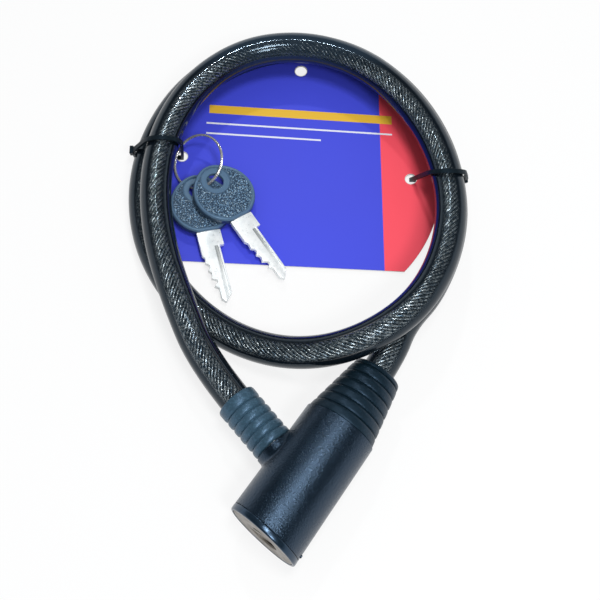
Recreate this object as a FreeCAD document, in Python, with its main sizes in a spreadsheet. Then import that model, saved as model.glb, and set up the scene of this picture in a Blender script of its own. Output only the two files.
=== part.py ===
import FreeCAD, Part
import math
import os

import Sketcher

# Keyed cable lock on its display card. The frame has its origin at the centre of the cable loop, on the
# surface that the lock lies on: +X to the right, +Y to the hang hole, +Z up. Lengths are in millimetres.

Vector = FreeCAD.Vector

os.makedirs("parts", exist_ok=True)
doc = FreeCAD.newDocument("cable_lock")


# Driving dimensions
DIMENSIONS = {
    # cable
    "cable_radius": 6.0,
    "rope_radius": 3.6,
    "jacket_gap": 0.05,
    "lead_length": 25.0,
    "exit_run": 22.0,
    # lock head, along its axis from the key face
    "face_x": -12.28,
    "face_y": -129.68,
    "head_angle": 55.2,
    "key_end_radius": 14.45,
    "seam_radius": 13.94,
    "seam_at": 46.7,
    "cap_length": 2.5,
    "nub_radius": 0.6,
    "nub_height": 0.35,
    "nub_at": 2.0,
    "face_slant_angle": 6.6,
    "face_shift": -0.4,
    "face_radius": 13.3,
    "face_thickness": 0.85,
    "face_recess": 0.15,
    "face_groove_radius": 9.8,
    "face_groove_width": 0.9,
    "face_groove_depth": 0.5,
    "seat_gap": 0.05,
    "case_radius": 10.45,
    "case_front": 1.9,
    "case_end": 44.5,
    # cylinder
    "cylinder_radius": 6.2,
    "running_gap": 0.08,
    "cylinder_front": 0.6,
    "cylinder_end": 17.6,
    "keyway_width": 2.4,
    "keyway_height": 9.2,
    "keyway_roll_angle": 90.0,
    "keyway_end": 13.6,
    "wafer_first": 2.6,
    "wafer_pitch": 2.2,
    "wafer_width": 6.4,
    "wafer_height": 10.4,
    "wafer_thickness": 0.9,
    "wafer_window_width": 2.8,
    "wafer_window_height": 8.8,
    "wafer_ear": 1.6,
    "wafer_ear_height": 1.0,
    "wafer_slot_gap": 0.1,
    "wafer_spring_radius": 0.4,
    "wafer_spring_length": 3.8,
    "cam_radius": 4.0,
    "cam_end": 22.8,
    "cam_flat": 0.15,
    "cam_room": 0.3,
    "retainer_at": 15.6,
    "retainer_radius": 0.95,
    "retainer_depth": 1.0,
    # removable end, along its axis from the head's axis
    "branch_at": 24.06,
    "branch_angle": 74.8,
    "neck_radius": 7.9,
    "neck_end": 15.3,
    "neck_fillet": 1.6,
    "pin_radius": 4.4,
    "pin_gap": 0.1,
    "pin_tip": 8.0,
    "pin_tip_chamfer": 0.8,
    "pin_notch_low": 5.9,
    "pin_notch_high": 4.2,
    "pin_room": 0.6,
    "flange_radius": 6.4,
    "flange_start": 15.6,
    "flange_end": 16.8,
    "stub_end": 19.5,
    "sleeve_radius": 5.4,
    "sleeve_end": 30.5,
    "crimp_depth": 0.4,
    "crimp_width": 1.4,
    "plug_boot_start": 15.7,
    "plug_boot_end": 37.5,
    "plug_boot_radius": 7.7,
    "plug_boot_band": 4.6,
    "boot_groove_width": 0.8,
    "boot_groove_depth": 0.5,
    # fixed end, along the head's axis
    "ferrule_radius": 4.9,
    "ferrule_start": 34.2,
    "ferrule_bore_start": 43.5,
    "ferrule_end": 57.0,
    "roll_pin_radius": 1.2,
    "roll_pin_at": 38.5,
    "boot_spigot": 2.0,
    "boot_length": 24.8,
    "boot_base_radius": 13.6,
    "boot_tip_radius": 9.2,
    "boot_tip_round": 1.1,
    # keys, from the centre of the bow along the blade
    "bow_radius": 12.4,
    "bow_thickness": 3.8,
    "bow_centre_at": 0.3,
    "bow_flat_at": 12.1,
    "bow_hole_offset": 6.2,
    "bow_hole_radius": 3.4,
    "bow_dip_radius": 5.9,
    "bow_dip_thickness": 2.0,
    "bow_edge_chamfer": 0.5,
    "blade_thickness": 2.0,
    "blade_root_width": 9.6,
    "blade_width": 6.0,
    "blade_shoulder_at": 18.8,
    "blade_tip_at": 42.8,
    "blade_tip_width": 3.0,
    "blade_groove_width": 1.4,
    "blade_groove_depth": 0.5,
    "tang_start": 4.5,
    "tang_width": 6.0,
    "cut_first": 22.0,
    "cut_pitch": 3.4,
    "cut_depth": 1.1,
    "key_one_x": -29.9,
    "key_one_y": 5.93,
    "key_one_z": 8.78,
    "key_one_yaw": -55.16,
    "key_one_pitch": 6.38,
    "key_one_roll": -11.02,
    "key_two_x": -38.92,
    "key_two_y": 2.54,
    "key_two_z": 5.82,
    "key_two_yaw": -74.89,
    "key_two_pitch": 1.96,
    "key_two_roll": -8.73,
    # key ring
    "ring_radius": 10.92,
    "ring_wire_radius": 0.5,
    "ring_x": -40.56,
    "ring_y": 20.83,
    "ring_z": 8.63,
    "ring_tilt": 28.87,
    "ring_rise_direction": 27.57,
    # display card and ties
    "card_low": 1.2,
    "card_thickness": 0.5,
    "card_radius": 61.4,
    "card_centre_x": -4.0,
    "card_centre_y": 17.0,
    "card_cut_y": -22.4,
    "card_cut_slope": -3.0,
    "hang_hole_radius": 2.5,
    "hang_hole_x": 0.8,
    "hang_hole_y": 69.2,
    "tie_hole_radius": 2.2,
    "left_tie_x": -47.9,
    "left_tie_y": 27.3,
    "left_tie_lean": 0.25,
    "right_tie_x": 45.4,
    "right_tie_y": 16.7,
    "right_tie_lean": 0.42,
    "tie_width": 1.9,
    "tie_thickness": 1.1,
    "tie_gap": 0.3,
    "tie_corner": 1.5,
    "tie_head_width": 3.4,
    "tie_head_depth": 1.4,
    "tie_head_height": 3.4,
    "left_tie_head_z": 10.0,
    "right_tie_head_z": 3.2,
}

# Counts
WAFERS = 5
PLUG_BOOT_RINGS = 5
TAIL_BOOT_RINGS = 6

# Depths of a key's cuts from the root to the tip, as shares of cut_depth
KEY_CUTS = (0.7, 1.2, 0.9, 1.9, 1.4)

# The coiled length's free route, from the first bend beside the removable end and round a bit under two laps.
LOOP_POINTS = [
    (-44.5, -44.5, 21.0),
    (-52.5, -21.0, 20.5),
    (-56.0, 4.0, 19.5),
    (-53.0, 29.0, 19.0),
    (-41.5, 51.5, 19.0),
    (-21.0, 67.0, 19.0),
    (4.0, 69.5, 19.0),
    (27.5, 60.0, 19.5),
    (45.0, 41.5, 19.5),
    (55.5, 19.0, 20.0),
    (59.0, -6.0, 21.0),
    (53.5, -31.0, 22.5),
    (40.0, -52.5, 27.0),
    (17.5, -65.0, 24.4),
    (-5.5, -64.0, 15.0),
    (-28.0, -54.0, 9.0),
    (-47.0, -37.0, 8.0),
    (-59.0, -15.0, 8.1),
    (-62.5, 10.5, 8.2),
    (-57.5, 35.0, 8.1),
    (-45.0, 57.0, 8.1),
    (-24.5, 72.0, 8.1),
    (0.0, 78.0, 8.1),
    (24.5, 71.0, 8.1),
    (43.5, 54.0, 8.2),
    (56.0, 32.0, 8.1),
    (61.0, 7.5, 8.1),
]
# The free route of the last stretch, up to the last bend beside the fixed end. The two lengths of cable
# meet in the middle of the run between the lists.
END_POINTS = [
    (59.4, -13.5, 8.3),
    (50.0, -36.5, 9.7),
    (38.4, -50.0, 12.0),
]


# Sheet and named sizes
sheet = doc.addObject("Spreadsheet::Sheet", "Dims")
for row, (alias, value) in enumerate(DIMENSIONS.items(), start=1):
    sheet.set(f"A{row}", alias)
    sheet.set(f"B{row}", str(value))
    sheet.setAlias(f"B{row}", alias)
doc.recompute()


class Size:
    """A number together with the sheet expression that gives it."""

    def __init__(self, value, text):
        self.value = value
        self.text = text

    def combine(self, other, sign, value):
        right = other.text if isinstance(other, Size) else str(other)
        return Size(value, f"({self.text} {sign} {right})")

    def __add__(self, other):
        return self.combine(other, "+", self.value + number(other))

    def __sub__(self, other):
        return self.combine(other, "-", self.value - number(other))

    def __mul__(self, other):
        return self.combine(other, "*", self.value * number(other))

    def __truediv__(self, other):
        return self.combine(other, "/", self.value / number(other))

    def __neg__(self):
        return Size(-self.value, f"(0 - {self.text})")


def number(size):
    return size.value if isinstance(size, Size) else size


def cosine(angle):
    return Size(math.cos(math.radians(angle.value)), f"cos({angle.text} * 1 deg)")


def sine(angle):
    return Size(math.sin(math.radians(angle.value)), f"sin({angle.text} * 1 deg)")


def tangent(angle):
    return Size(math.tan(math.radians(angle.value)), f"tan({angle.text} * 1 deg)")


class Sizes:
    """Each driving dimension by its name."""


sizes = Sizes()
for alias, value in DIMENSIONS.items():
    setattr(sizes, alias, Size(value, f"Dims.{alias}"))

ZERO = sizes.face_x * 0.0
head_height = sizes.key_end_radius
parts = []


# Helpers for placements
def bind(obj, name, size):
    """Bind one property of an object to a size, or set it where the size is a bare number."""
    if isinstance(size, Size):
        obj.setExpression(name, size.text)
    else:
        setattr(obj, name, size)


def place(obj, base, yaw=None):
    """Place an object at three sizes, turned about Z by an angle."""
    for axis, size in zip("xyz", base):
        obj.setExpression(f"Placement.Base.{axis}", size.text)
    if yaw is not None:
        obj.Placement = FreeCAD.Placement(
            Vector(*[number(size) for size in base]),
            FreeCAD.Rotation(Vector(0, 0, 1), number(yaw)),
        )
        obj.setExpression("Placement.Rotation.Angle", f"{yaw.text} * 1 deg")


def name_part(obj, label):
    """Register a finished sub-part under its label."""
    obj.Label = label
    parts.append(obj)
    return obj


HEAD_BASE = (sizes.face_x, sizes.face_y, head_height)
BRANCH_BASE = (
    sizes.face_x + sizes.branch_at * cosine(sizes.head_angle),
    sizes.face_y + sizes.branch_at * sine(sizes.head_angle),
    head_height,
)
BRANCH_YAW = sizes.head_angle + sizes.branch_angle


def place_on_head(obj):
    place(obj, HEAD_BASE, sizes.head_angle)


def roll_on_head(obj):
    """Place an object on the head and turn it about the head's axis, so that the keyway lies flat."""
    place(obj, HEAD_BASE)
    yaw, roll = sizes.head_angle, sizes.keyway_roll_angle
    obj.Placement = FreeCAD.Placement(
        Vector(*[number(size) for size in HEAD_BASE]), FreeCAD.Rotation(yaw.value, 0, roll.value)
    )
    obj.setExpression("Placement.Rotation", f"create(<<rotation>>; {yaw.text}; 0; {roll.text})")


def place_on_branch(obj):
    place(obj, BRANCH_BASE, BRANCH_YAW)


# Helpers for bodies
def origin_plane(body, role):
    return next(item for item in body.Origin.OriginFeatures if item.Role == role)


def polygon_sketch(body, name, role, corners, height=None):
    """A closed outline through corners whose coordinates are bound sizes."""
    sketch = body.newObject("Sketcher::SketchObject", name)
    sketch.AttachmentSupport = [(origin_plane(body, role), "")]
    sketch.MapMode = "FlatFace"
    if height is not None:
        sketch.setExpression("AttachmentOffset.Base.z", height.text)
    count = len(corners)
    points = [Vector(number(x), number(y), 0) for x, y in corners]
    for index in range(count):
        sketch.addGeometry(Part.LineSegment(points[index], points[(index + 1) % count]), False)
    for index in range(count):
        sketch.addConstraint(
            Sketcher.Constraint("Coincident", index, 2, (index + 1) % count, 1)
        )
    for index, (x, y) in enumerate(corners):
        for kind, size in (("DistanceX", x), ("DistanceY", y)):
            value = number(size)
            which = sketch.addConstraint(
                Sketcher.Constraint(kind, -1, 1, index, 1, value)
            )
            if isinstance(size, Size):
                sketch.setExpression(f"Constraints[{which}]", size.text)
    return sketch


def circle_sketch(body, name, role, circles, height=None):
    """Circles given by their centre and radius."""
    sketch = body.newObject("Sketcher::SketchObject", name)
    sketch.AttachmentSupport = [(origin_plane(body, role), "")]
    sketch.MapMode = "FlatFace"
    if height is not None:
        sketch.setExpression("AttachmentOffset.Base.z", height.text)
    for index, (x, y, radius) in enumerate(circles):
        centre = Vector(number(x), number(y), 0)
        sketch.addGeometry(Part.Circle(centre, Vector(0, 0, 1), number(radius)), False)
        for kind, size in (("DistanceX", x), ("DistanceY", y)):
            which = sketch.addConstraint(
                Sketcher.Constraint(kind, -1, 1, index, 3, number(size))
            )
            if isinstance(size, Size):
                sketch.setExpression(f"Constraints[{which}]", size.text)
        which = sketch.addConstraint(Sketcher.Constraint("Radius", index, number(radius)))
        if isinstance(radius, Size):
            sketch.setExpression(f"Constraints[{which}]", radius.text)
    return sketch


def turned(body, name, corners):
    """Turn an outline about the body's own X axis."""
    sketch = polygon_sketch(body, name + "_outline", "XY_Plane", corners)
    feature = body.newObject("PartDesign::Revolution", name)
    feature.Profile = sketch
    feature.ReferenceAxis = (sketch, ["H_Axis"])
    feature.Angle = 360.0
    body.Tip = feature
    return feature


def turned_groove(body, name, corners):
    """Cut a turned outline about the body's own X axis."""
    sketch = polygon_sketch(body, name + "_outline", "XY_Plane", corners)
    feature = body.newObject("PartDesign::Groove", name)
    feature.Profile = sketch
    feature.ReferenceAxis = (sketch, ["H_Axis"])
    feature.Angle = 360.0
    body.Tip = feature
    return feature


def padded(body, name, sketch, length, midplane=False):
    feature = body.newObject("PartDesign::Pad", name)
    feature.Profile = sketch
    feature.Midplane = midplane
    bind(feature, "Length", length)
    body.Tip = feature
    return feature


def pocketed(body, name, sketch, length=None, midplane=False, reverse=False):
    feature = body.newObject("PartDesign::Pocket", name)
    feature.Profile = sketch
    feature.Midplane = midplane
    feature.Reversed = reverse
    if length is None:
        feature.Type = "ThroughAll"
    else:
        bind(feature, "Length", length)
    body.Tip = feature
    return feature


def new_body(label):
    return doc.addObject("PartDesign::Body", label)


# Helpers for primitives
def cylinder(name, radius, start, length, axis="x", x=ZERO, y=ZERO, z=ZERO):
    """A cylinder along one local axis, from a start along that axis."""
    tool = doc.addObject("Part::Cylinder", name)
    bind(tool, "Radius", radius)
    bind(tool, "Height", length)
    base = {"x": (start, y, z), "y": (x, start, z), "z": (x, y, start)}[axis]
    turn = {
        "x": FreeCAD.Rotation(Vector(0, 1, 0), 90),
        "y": FreeCAD.Rotation(Vector(1, 0, 0), -90),
        "z": FreeCAD.Rotation(),
    }[axis]
    tool.Placement = FreeCAD.Placement(Vector(*[number(size) for size in base]), turn)
    for letter, size in zip("xyz", base):
        if isinstance(size, Size):
            tool.setExpression(f"Placement.Base.{letter}", size.text)
    return tool


def block(name, low, spans):
    """A box from its low corner and its three spans."""
    tool = doc.addObject("Part::Box", name)
    for prop, size in zip(("Length", "Width", "Height"), spans):
        bind(tool, prop, size)
    tool.Placement = FreeCAD.Placement(Vector(*[number(size) for size in low]), FreeCAD.Rotation())
    for letter, size in zip("xyz", low):
        if isinstance(size, Size):
            tool.setExpression(f"Placement.Base.{letter}", size.text)
    return tool


def along_branch(name, radius, start, length):
    """A cylinder on the removable end's axis, in the head's own frame."""
    tool = doc.addObject("Part::Cylinder", name)
    bind(tool, "Radius", radius)
    bind(tool, "Height", length)
    base_x = sizes.branch_at + start * cosine(sizes.branch_angle)
    base_y = start * sine(sizes.branch_angle)
    tool.Placement = FreeCAD.Placement(
        Vector(base_x.value, base_y.value, 0),
        FreeCAD.Rotation(sizes.branch_angle.value, 90, 0),
    )
    tool.setExpression("Placement.Base.x", base_x.text)
    tool.setExpression("Placement.Base.y", base_y.text)
    tool.setExpression(
        "Placement.Rotation",
        f"create(<<rotation>>; {sizes.branch_angle.text}; 90; 0)",
    )
    return tool


def cut(name, base, tools):
    """Cut a list of tools from a base."""
    tool = tools[0]
    if len(tools) > 1:
        tool = doc.addObject("Part::MultiFuse", name + "_tools")
        tool.Shapes = tools
    feature = doc.addObject("Part::Cut", name)
    feature.Base = base
    feature.Tool = tool
    return feature


def shared(name, base, tool):
    """What two shapes have in common."""
    feature = doc.addObject("Part::Common", name)
    feature.Base = base
    feature.Tool = tool
    return feature


def slanted_slab(name, low, high):
    """A wide slab, parallel to the slanted key face, between two depths behind it."""
    width = sizes.key_end_radius * 4
    slab = doc.addObject("Part::Box", name)
    for prop, size in zip(("Length", "Width", "Height"), (high - low, width, width)):
        bind(slab, prop, size)
    slant = sizes.face_slant_angle
    base = (
        sizes.face_shift + low * cosine(slant) - width / 2 * sine(slant),
        ZERO - low * sine(slant) - width / 2 * cosine(slant),
        -width / 2,
    )
    slab.Placement = FreeCAD.Placement(
        Vector(*[number(size) for size in base]), FreeCAD.Rotation(-slant.value, 0, 0)
    )
    for letter, size in zip("xyz", base):
        slab.setExpression(f"Placement.Base.{letter}", size.text)
    slab.setExpression("Placement.Rotation", f"create(<<rotation>>; -{slant.text}; 0; 0)")
    return slab


def fuse(name, shapes):
    feature = doc.addObject("Part::MultiFuse", name)
    feature.Shapes = shapes
    return feature


# Lock head
def make_housing_shell():
    cone = new_body("housing_cone")
    turned(
        cone,
        "housing_turning",
        [
            (-sizes.cap_length, sizes.case_radius + sizes.seat_gap),
            (-sizes.cap_length, sizes.key_end_radius),
            (sizes.seam_at, sizes.seam_radius),
            (sizes.seam_at, sizes.case_radius + sizes.seat_gap),
        ],
    )
    core = cylinder(
        "housing_core",
        sizes.case_radius + sizes.seat_gap,
        -sizes.cap_length * 2,
        sizes.seam_at + sizes.boot_length,
    )
    neck = along_branch("neck_outside", sizes.neck_radius, ZERO, sizes.neck_end)
    nub_seat = sizes.key_end_radius - sizes.nub_radius
    nub = cylinder(
        "moulding_nub",
        sizes.nub_radius,
        -(nub_seat + sizes.nub_radius + sizes.nub_height),
        sizes.nub_radius + sizes.nub_height,
        axis="y",
        x=sizes.nub_at,
    )
    outside = fuse("housing_outside", [cone, neck, nub])
    doc.recompute()
    rounded = doc.addObject("Part::Fillet", "housing_rounded")
    rounded.Base = outside
    radius = sizes.neck_fillet.value
    rounded.Edges = [(index, radius, radius) for index in neck_edges(outside.Shape)]
    hole = along_branch("neck_hole", sizes.pin_radius + sizes.pin_gap, ZERO, sizes.neck_end * 2)
    seat = along_branch(
        "neck_seat", sizes.neck_radius + sizes.running_gap * 2, sizes.neck_end, sizes.neck_radius
    )
    front = slanted_slab("housing_front", -sizes.cap_length * 4, sizes.cap_length + sizes.seat_gap)
    shell = cut("housing_drilled", rounded, [core, hole, seat, front])
    place_on_head(shell)
    name_part(shell, "housing_shell")


def neck_edges(shape):
    """The edges where the neck's outside meets the cone's outside."""
    found = []
    reach = sizes.neck_radius.value
    angle = math.radians(sizes.branch_angle.value)
    out = Vector(math.cos(angle), math.sin(angle), 0)
    foot = Vector(sizes.branch_at.value, 0, 0)
    for index, edge in enumerate(shape.Edges, start=1):
        if edge.Curve.TypeId == "Part::GeomLine":
            continue
        spots = [edge.valueAt(edge.FirstParameter + share * (edge.LastParameter - edge.FirstParameter))
                 for share in (0.1, 0.35, 0.6, 0.85)]
        rel = [spot - foot for spot in spots]
        off_axis = [(arm - out * arm.dot(out)).Length for arm in rel]
        along = [arm.dot(out) for arm in rel]
        on_neck = all(abs(distance - reach) < 0.02 for distance in off_axis)
        outside = min(math.hypot(spot.y, spot.z) for spot in spots) > sizes.case_radius.value + 1
        if on_neck and outside and max(along) < sizes.neck_end.value - 0.01:
            found.append(index)
    return found


def make_end_cap():
    """The black ring at the key end. Its two faces slant as the key face does."""
    far = sizes.cap_length * 4
    length = sizes.cap_length * 5
    ring = cylinder("cap_outside", sizes.key_end_radius, -far / 2, length)
    ahead = slanted_slab("cap_ahead", -far, ZERO)
    behind = slanted_slab("cap_behind", sizes.cap_length, far)
    bore = cylinder("cap_bore", sizes.case_radius + sizes.seat_gap, -far / 2, length)
    pocket = shared(
        "cap_seat",
        cylinder("cap_seat_round", sizes.face_radius + sizes.seat_gap, -far / 2, length),
        slanted_slab("cap_seat_depth", -far, sizes.face_recess + sizes.face_thickness),
    )
    on_head(cut("cap_cut", ring, [ahead, behind, bore, pocket]), "end_cap")


def make_face_plate():
    far = sizes.cap_length * 4
    length = sizes.cap_length * 6
    disc = shared(
        "face_disc",
        cylinder("face_round", sizes.face_radius, -far / 2, length),
        slanted_slab("face_depth", sizes.face_recess, sizes.face_recess + sizes.face_thickness),
    )
    bore = cylinder("face_bore", sizes.cylinder_radius + sizes.running_gap, -far / 2, length)
    half = sizes.face_groove_width / 2
    ring = cut(
        "face_groove_ring",
        cylinder("face_groove_outside", sizes.face_groove_radius + half, -far / 2, length),
        [cylinder("face_groove_inside", sizes.face_groove_radius - half, -far, length * 2)],
    )
    floor = slanted_slab("face_groove_floor", -far, sizes.face_recess + sizes.face_groove_depth)
    groove = shared("face_groove", ring, floor)
    on_head(cut("face_cut", disc, [bore, groove]), "face_plate")


def make_lock_case():
    barrel = cylinder(
        "case_barrel", sizes.case_radius, sizes.case_front, sizes.case_end - sizes.case_front
    )
    bore = cylinder(
        "cylinder_bore", sizes.cylinder_radius + sizes.running_gap, ZERO, sizes.cylinder_end + sizes.cam_room
    )
    chamber = cylinder(
        "cam_chamber",
        sizes.cam_radius + sizes.cam_room,
        sizes.cylinder_end,
        sizes.cam_end + sizes.cam_room * 2 - sizes.cylinder_end,
    )
    pin_hole = along_branch(
        "pin_hole",
        sizes.pin_radius + sizes.pin_gap,
        -(sizes.pin_tip + sizes.pin_room),
        sizes.pin_tip + sizes.pin_room + sizes.case_radius * 2,
    )
    ferrule_bore = cylinder(
        "ferrule_bore",
        sizes.ferrule_radius + sizes.seat_gap,
        sizes.ferrule_start - sizes.seat_gap,
        sizes.case_end,
    )
    roll_hole = cylinder(
        "roll_pin_hole",
        sizes.roll_pin_radius + sizes.seat_gap,
        -sizes.case_radius * 2,
        sizes.case_radius * 4,
        axis="z",
        x=sizes.roll_pin_at,
    )
    retainer_hole = cylinder(
        "retainer_hole",
        sizes.retainer_radius + sizes.seat_gap,
        -sizes.case_radius * 2,
        sizes.case_radius * 2,
        axis="z",
        x=sizes.retainer_at,
    )
    tools = [bore, chamber, pin_hole, ferrule_bore, roll_hole, retainer_hole]
    case = cut("lock_case", barrel, tools)
    place_on_head(case)
    name_part(case, "lock_case")


def make_retaining_pin():
    floor = sizes.cylinder_radius - sizes.retainer_depth
    clear = sizes.running_gap * 2
    pin = cylinder(
        "retaining_pin_rod",
        sizes.retainer_radius,
        -(sizes.case_radius - sizes.seat_gap),
        sizes.case_radius - sizes.seat_gap - floor - clear,
        axis="z",
        x=sizes.retainer_at,
    )
    on_head(pin, "retaining_pin")


def on_head(shape, label, placed=place_on_head):
    """Carry a shape made in the head's own frame to the head's place."""
    carrier = doc.addObject("Part::Compound", label + "_group")
    carrier.Links = shape if isinstance(shape, list) else [shape]
    placed(carrier)
    name_part(carrier, label)


def wafer_fronts():
    return [sizes.wafer_first + sizes.wafer_pitch * step for step in range(WAFERS)]


def make_cylinder_plug():
    body = new_body("cylinder_plug")
    groove_low = sizes.retainer_at - sizes.retainer_radius - sizes.wafer_slot_gap
    groove_high = sizes.retainer_at + sizes.retainer_radius + sizes.wafer_slot_gap
    floor = sizes.cylinder_radius - sizes.retainer_depth
    turned(
        body,
        "plug_turning",
        [
            (sizes.cylinder_front, ZERO),
            (sizes.cylinder_front, sizes.cylinder_radius),
            (groove_low, sizes.cylinder_radius),
            (groove_low, floor),
            (groove_high, floor),
            (groove_high, sizes.cylinder_radius),
            (sizes.cylinder_end, sizes.cylinder_radius),
            (sizes.cylinder_end, ZERO),
        ],
    )
    half_width = sizes.keyway_width / 2
    slot = polygon_sketch(
        body,
        "keyway_outline",
        "XY_Plane",
        [
            (ZERO, -half_width),
            (sizes.keyway_end, -half_width),
            (sizes.keyway_end, half_width),
            (ZERO, half_width),
        ],
    )
    pocketed(body, "keyway", slot, sizes.keyway_height, midplane=True)
    half_slot = sizes.wafer_width / 2 + sizes.wafer_slot_gap
    for step, front in enumerate(wafer_fronts()):
        low = front - sizes.wafer_slot_gap
        high = front + sizes.wafer_thickness + sizes.wafer_slot_gap
        across = polygon_sketch(
            body,
            f"wafer_slot_outline_{step}",
            "XY_Plane",
            [(low, -half_slot), (high, -half_slot), (high, half_slot), (low, half_slot)],
        )
        pocketed(body, f"wafer_slot_{step}", across, sizes.cylinder_radius * 3, midplane=True)
        ear = half_slot + sizes.wafer_ear + sizes.wafer_slot_gap
        side = polygon_sketch(
            body,
            f"ear_slot_outline_{step}",
            "XY_Plane",
            [(low, half_width), (high, half_width), (high, ear), (low, ear)],
        )
        pocketed(
            body,
            f"ear_slot_{step}",
            side,
            sizes.wafer_spring_length + sizes.wafer_ear_height * 2,
            midplane=True,
        )
    roll_on_head(body)
    name_part(body, "cylinder_plug")


def make_wafers():
    wafers = []
    for step, front in enumerate(wafer_fronts()):
        plate = block(
            f"wafer_plate_{step}",
            (front, -sizes.wafer_width / 2, -sizes.wafer_height / 2),
            (sizes.wafer_thickness, sizes.wafer_width, sizes.wafer_height),
        )
        ear = block(
            f"wafer_ear_{step}",
            (front, ZERO + sizes.wafer_window_width / 2, sizes.wafer_spring_length / 2),
            (
                sizes.wafer_thickness,
                (sizes.wafer_width - sizes.wafer_window_width) / 2 + sizes.wafer_ear,
                sizes.wafer_ear_height,
            ),
        )
        window = block(
            f"wafer_window_{step}",
            (
                front - sizes.wafer_thickness,
                -sizes.wafer_window_width / 2,
                -sizes.wafer_window_height / 2,
            ),
            (sizes.wafer_thickness * 3, sizes.wafer_window_width, sizes.wafer_window_height),
        )
        solid = fuse(f"wafer_solid_{step}", [plate, ear])
        wafers.append(cut(f"wafer_{step}", solid, [window]))
    on_head(wafers, "wafers", roll_on_head)


def make_wafer_springs():
    springs = []
    reach = sizes.wafer_width / 2 + sizes.wafer_ear / 2 + sizes.wafer_slot_gap
    for step, front in enumerate(wafer_fronts()):
        springs.append(
            cylinder(
                f"wafer_spring_{step}",
                sizes.wafer_spring_radius,
                -sizes.wafer_spring_length / 2 - sizes.wafer_ear_height + sizes.seat_gap,
                sizes.wafer_spring_length + sizes.wafer_ear_height - sizes.seat_gap * 2,
                axis="z",
                x=front + sizes.wafer_thickness / 2,
                y=reach,
            )
        )
    on_head(springs, "wafer_springs", roll_on_head)


def make_cam_tail():
    round_tail = cylinder(
        "cam_round", sizes.cam_radius, sizes.cylinder_end, sizes.cam_end - sizes.cylinder_end
    )
    lower = block(
        "cam_lower",
        (sizes.cylinder_end - sizes.cam_radius, -sizes.cam_radius * 2, sizes.cam_flat - sizes.cam_radius * 2),
        (sizes.cam_end, sizes.cam_radius * 4, sizes.cam_radius * 2),
    )
    tail = cut("cam_half", round_tail, [lower])
    on_head(tail, "cam_tail")


def make_fixed_ferrule():
    body = new_body("fixed_ferrule_turning")
    first_crimp = sizes.ferrule_bore_start + sizes.crimp_width
    corners = [
        (sizes.ferrule_start, ZERO),
        (sizes.ferrule_start, sizes.ferrule_radius),
    ]
    for step in range(2):
        low = first_crimp + sizes.crimp_width * (2.5 * step)
        high = low + sizes.crimp_width
        corners += [
            (low, sizes.ferrule_radius),
            (low, sizes.ferrule_radius - sizes.crimp_depth),
            (high, sizes.ferrule_radius - sizes.crimp_depth),
            (high, sizes.ferrule_radius),
        ]
    corners += [
        (sizes.ferrule_end, sizes.ferrule_radius),
        (sizes.ferrule_end, sizes.rope_radius + sizes.seat_gap),
        (sizes.ferrule_bore_start, sizes.rope_radius + sizes.seat_gap),
        (sizes.ferrule_bore_start, ZERO),
    ]
    turned(body, "ferrule_turning", corners)
    hole = cylinder(
        "ferrule_cross_hole",
        sizes.roll_pin_radius + sizes.seat_gap,
        -sizes.ferrule_radius * 2,
        sizes.ferrule_radius * 4,
        axis="z",
        x=sizes.roll_pin_at,
    )
    drilled = cut("fixed_ferrule", body, [hole])
    place_on_head(drilled)
    name_part(drilled, "fixed_ferrule")


def make_roll_pin():
    pin = cylinder(
        "roll_pin",
        sizes.roll_pin_radius,
        -(sizes.case_radius - sizes.seat_gap * 4),
        (sizes.case_radius - sizes.seat_gap * 4) * 2,
        axis="z",
        x=sizes.roll_pin_at,
    )
    on_head(pin, "ferrule_roll_pin")


def ringed_profile(start, pitch, rings, radius_at):
    """Corners of an outside with a square groove before the end of each ring's pitch."""
    corners = []
    for step in range(rings):
        low = start + pitch * step
        crest_end = low + pitch - sizes.boot_groove_width
        corners += [(low, radius_at(low)), (crest_end, radius_at(crest_end))]
        groove_end = low + pitch
        corners += [
            (crest_end, radius_at(crest_end) - sizes.boot_groove_depth),
            (groove_end, radius_at(groove_end) - sizes.boot_groove_depth),
        ]
    return corners


def make_tail_boot():
    body = new_body("tail_boot")
    tip = sizes.seam_at + sizes.boot_length
    pitch = sizes.boot_length / (TAIL_BOOT_RINGS + 0.5)

    def radius_at(position):
        share = (position - sizes.seam_at) / sizes.boot_length
        return sizes.boot_base_radius + (sizes.boot_tip_radius - sizes.boot_base_radius) * share

    ferrule_bore = sizes.ferrule_radius + sizes.seat_gap
    cable_bore = sizes.cable_radius + sizes.seat_gap
    spigot_start = sizes.seam_at - sizes.boot_spigot
    last_start = sizes.seam_at + pitch * TAIL_BOOT_RINGS
    corners = [
        (spigot_start, ferrule_bore),
        (spigot_start, sizes.case_radius),
        (sizes.seam_at, sizes.case_radius),
    ]
    corners += ringed_profile(sizes.seam_at, pitch, TAIL_BOOT_RINGS, radius_at)
    corners += [
        (last_start, radius_at(last_start)),
        (tip - sizes.boot_tip_round, sizes.boot_tip_radius),
        (tip, sizes.boot_tip_radius - sizes.boot_tip_round),
        (tip, cable_bore),
        (sizes.ferrule_end, cable_bore),
        (sizes.ferrule_end, ferrule_bore),
    ]
    turned(body, "tail_boot_turning", corners)
    place_on_head(body)
    name_part(body, "tail_boot")


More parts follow.
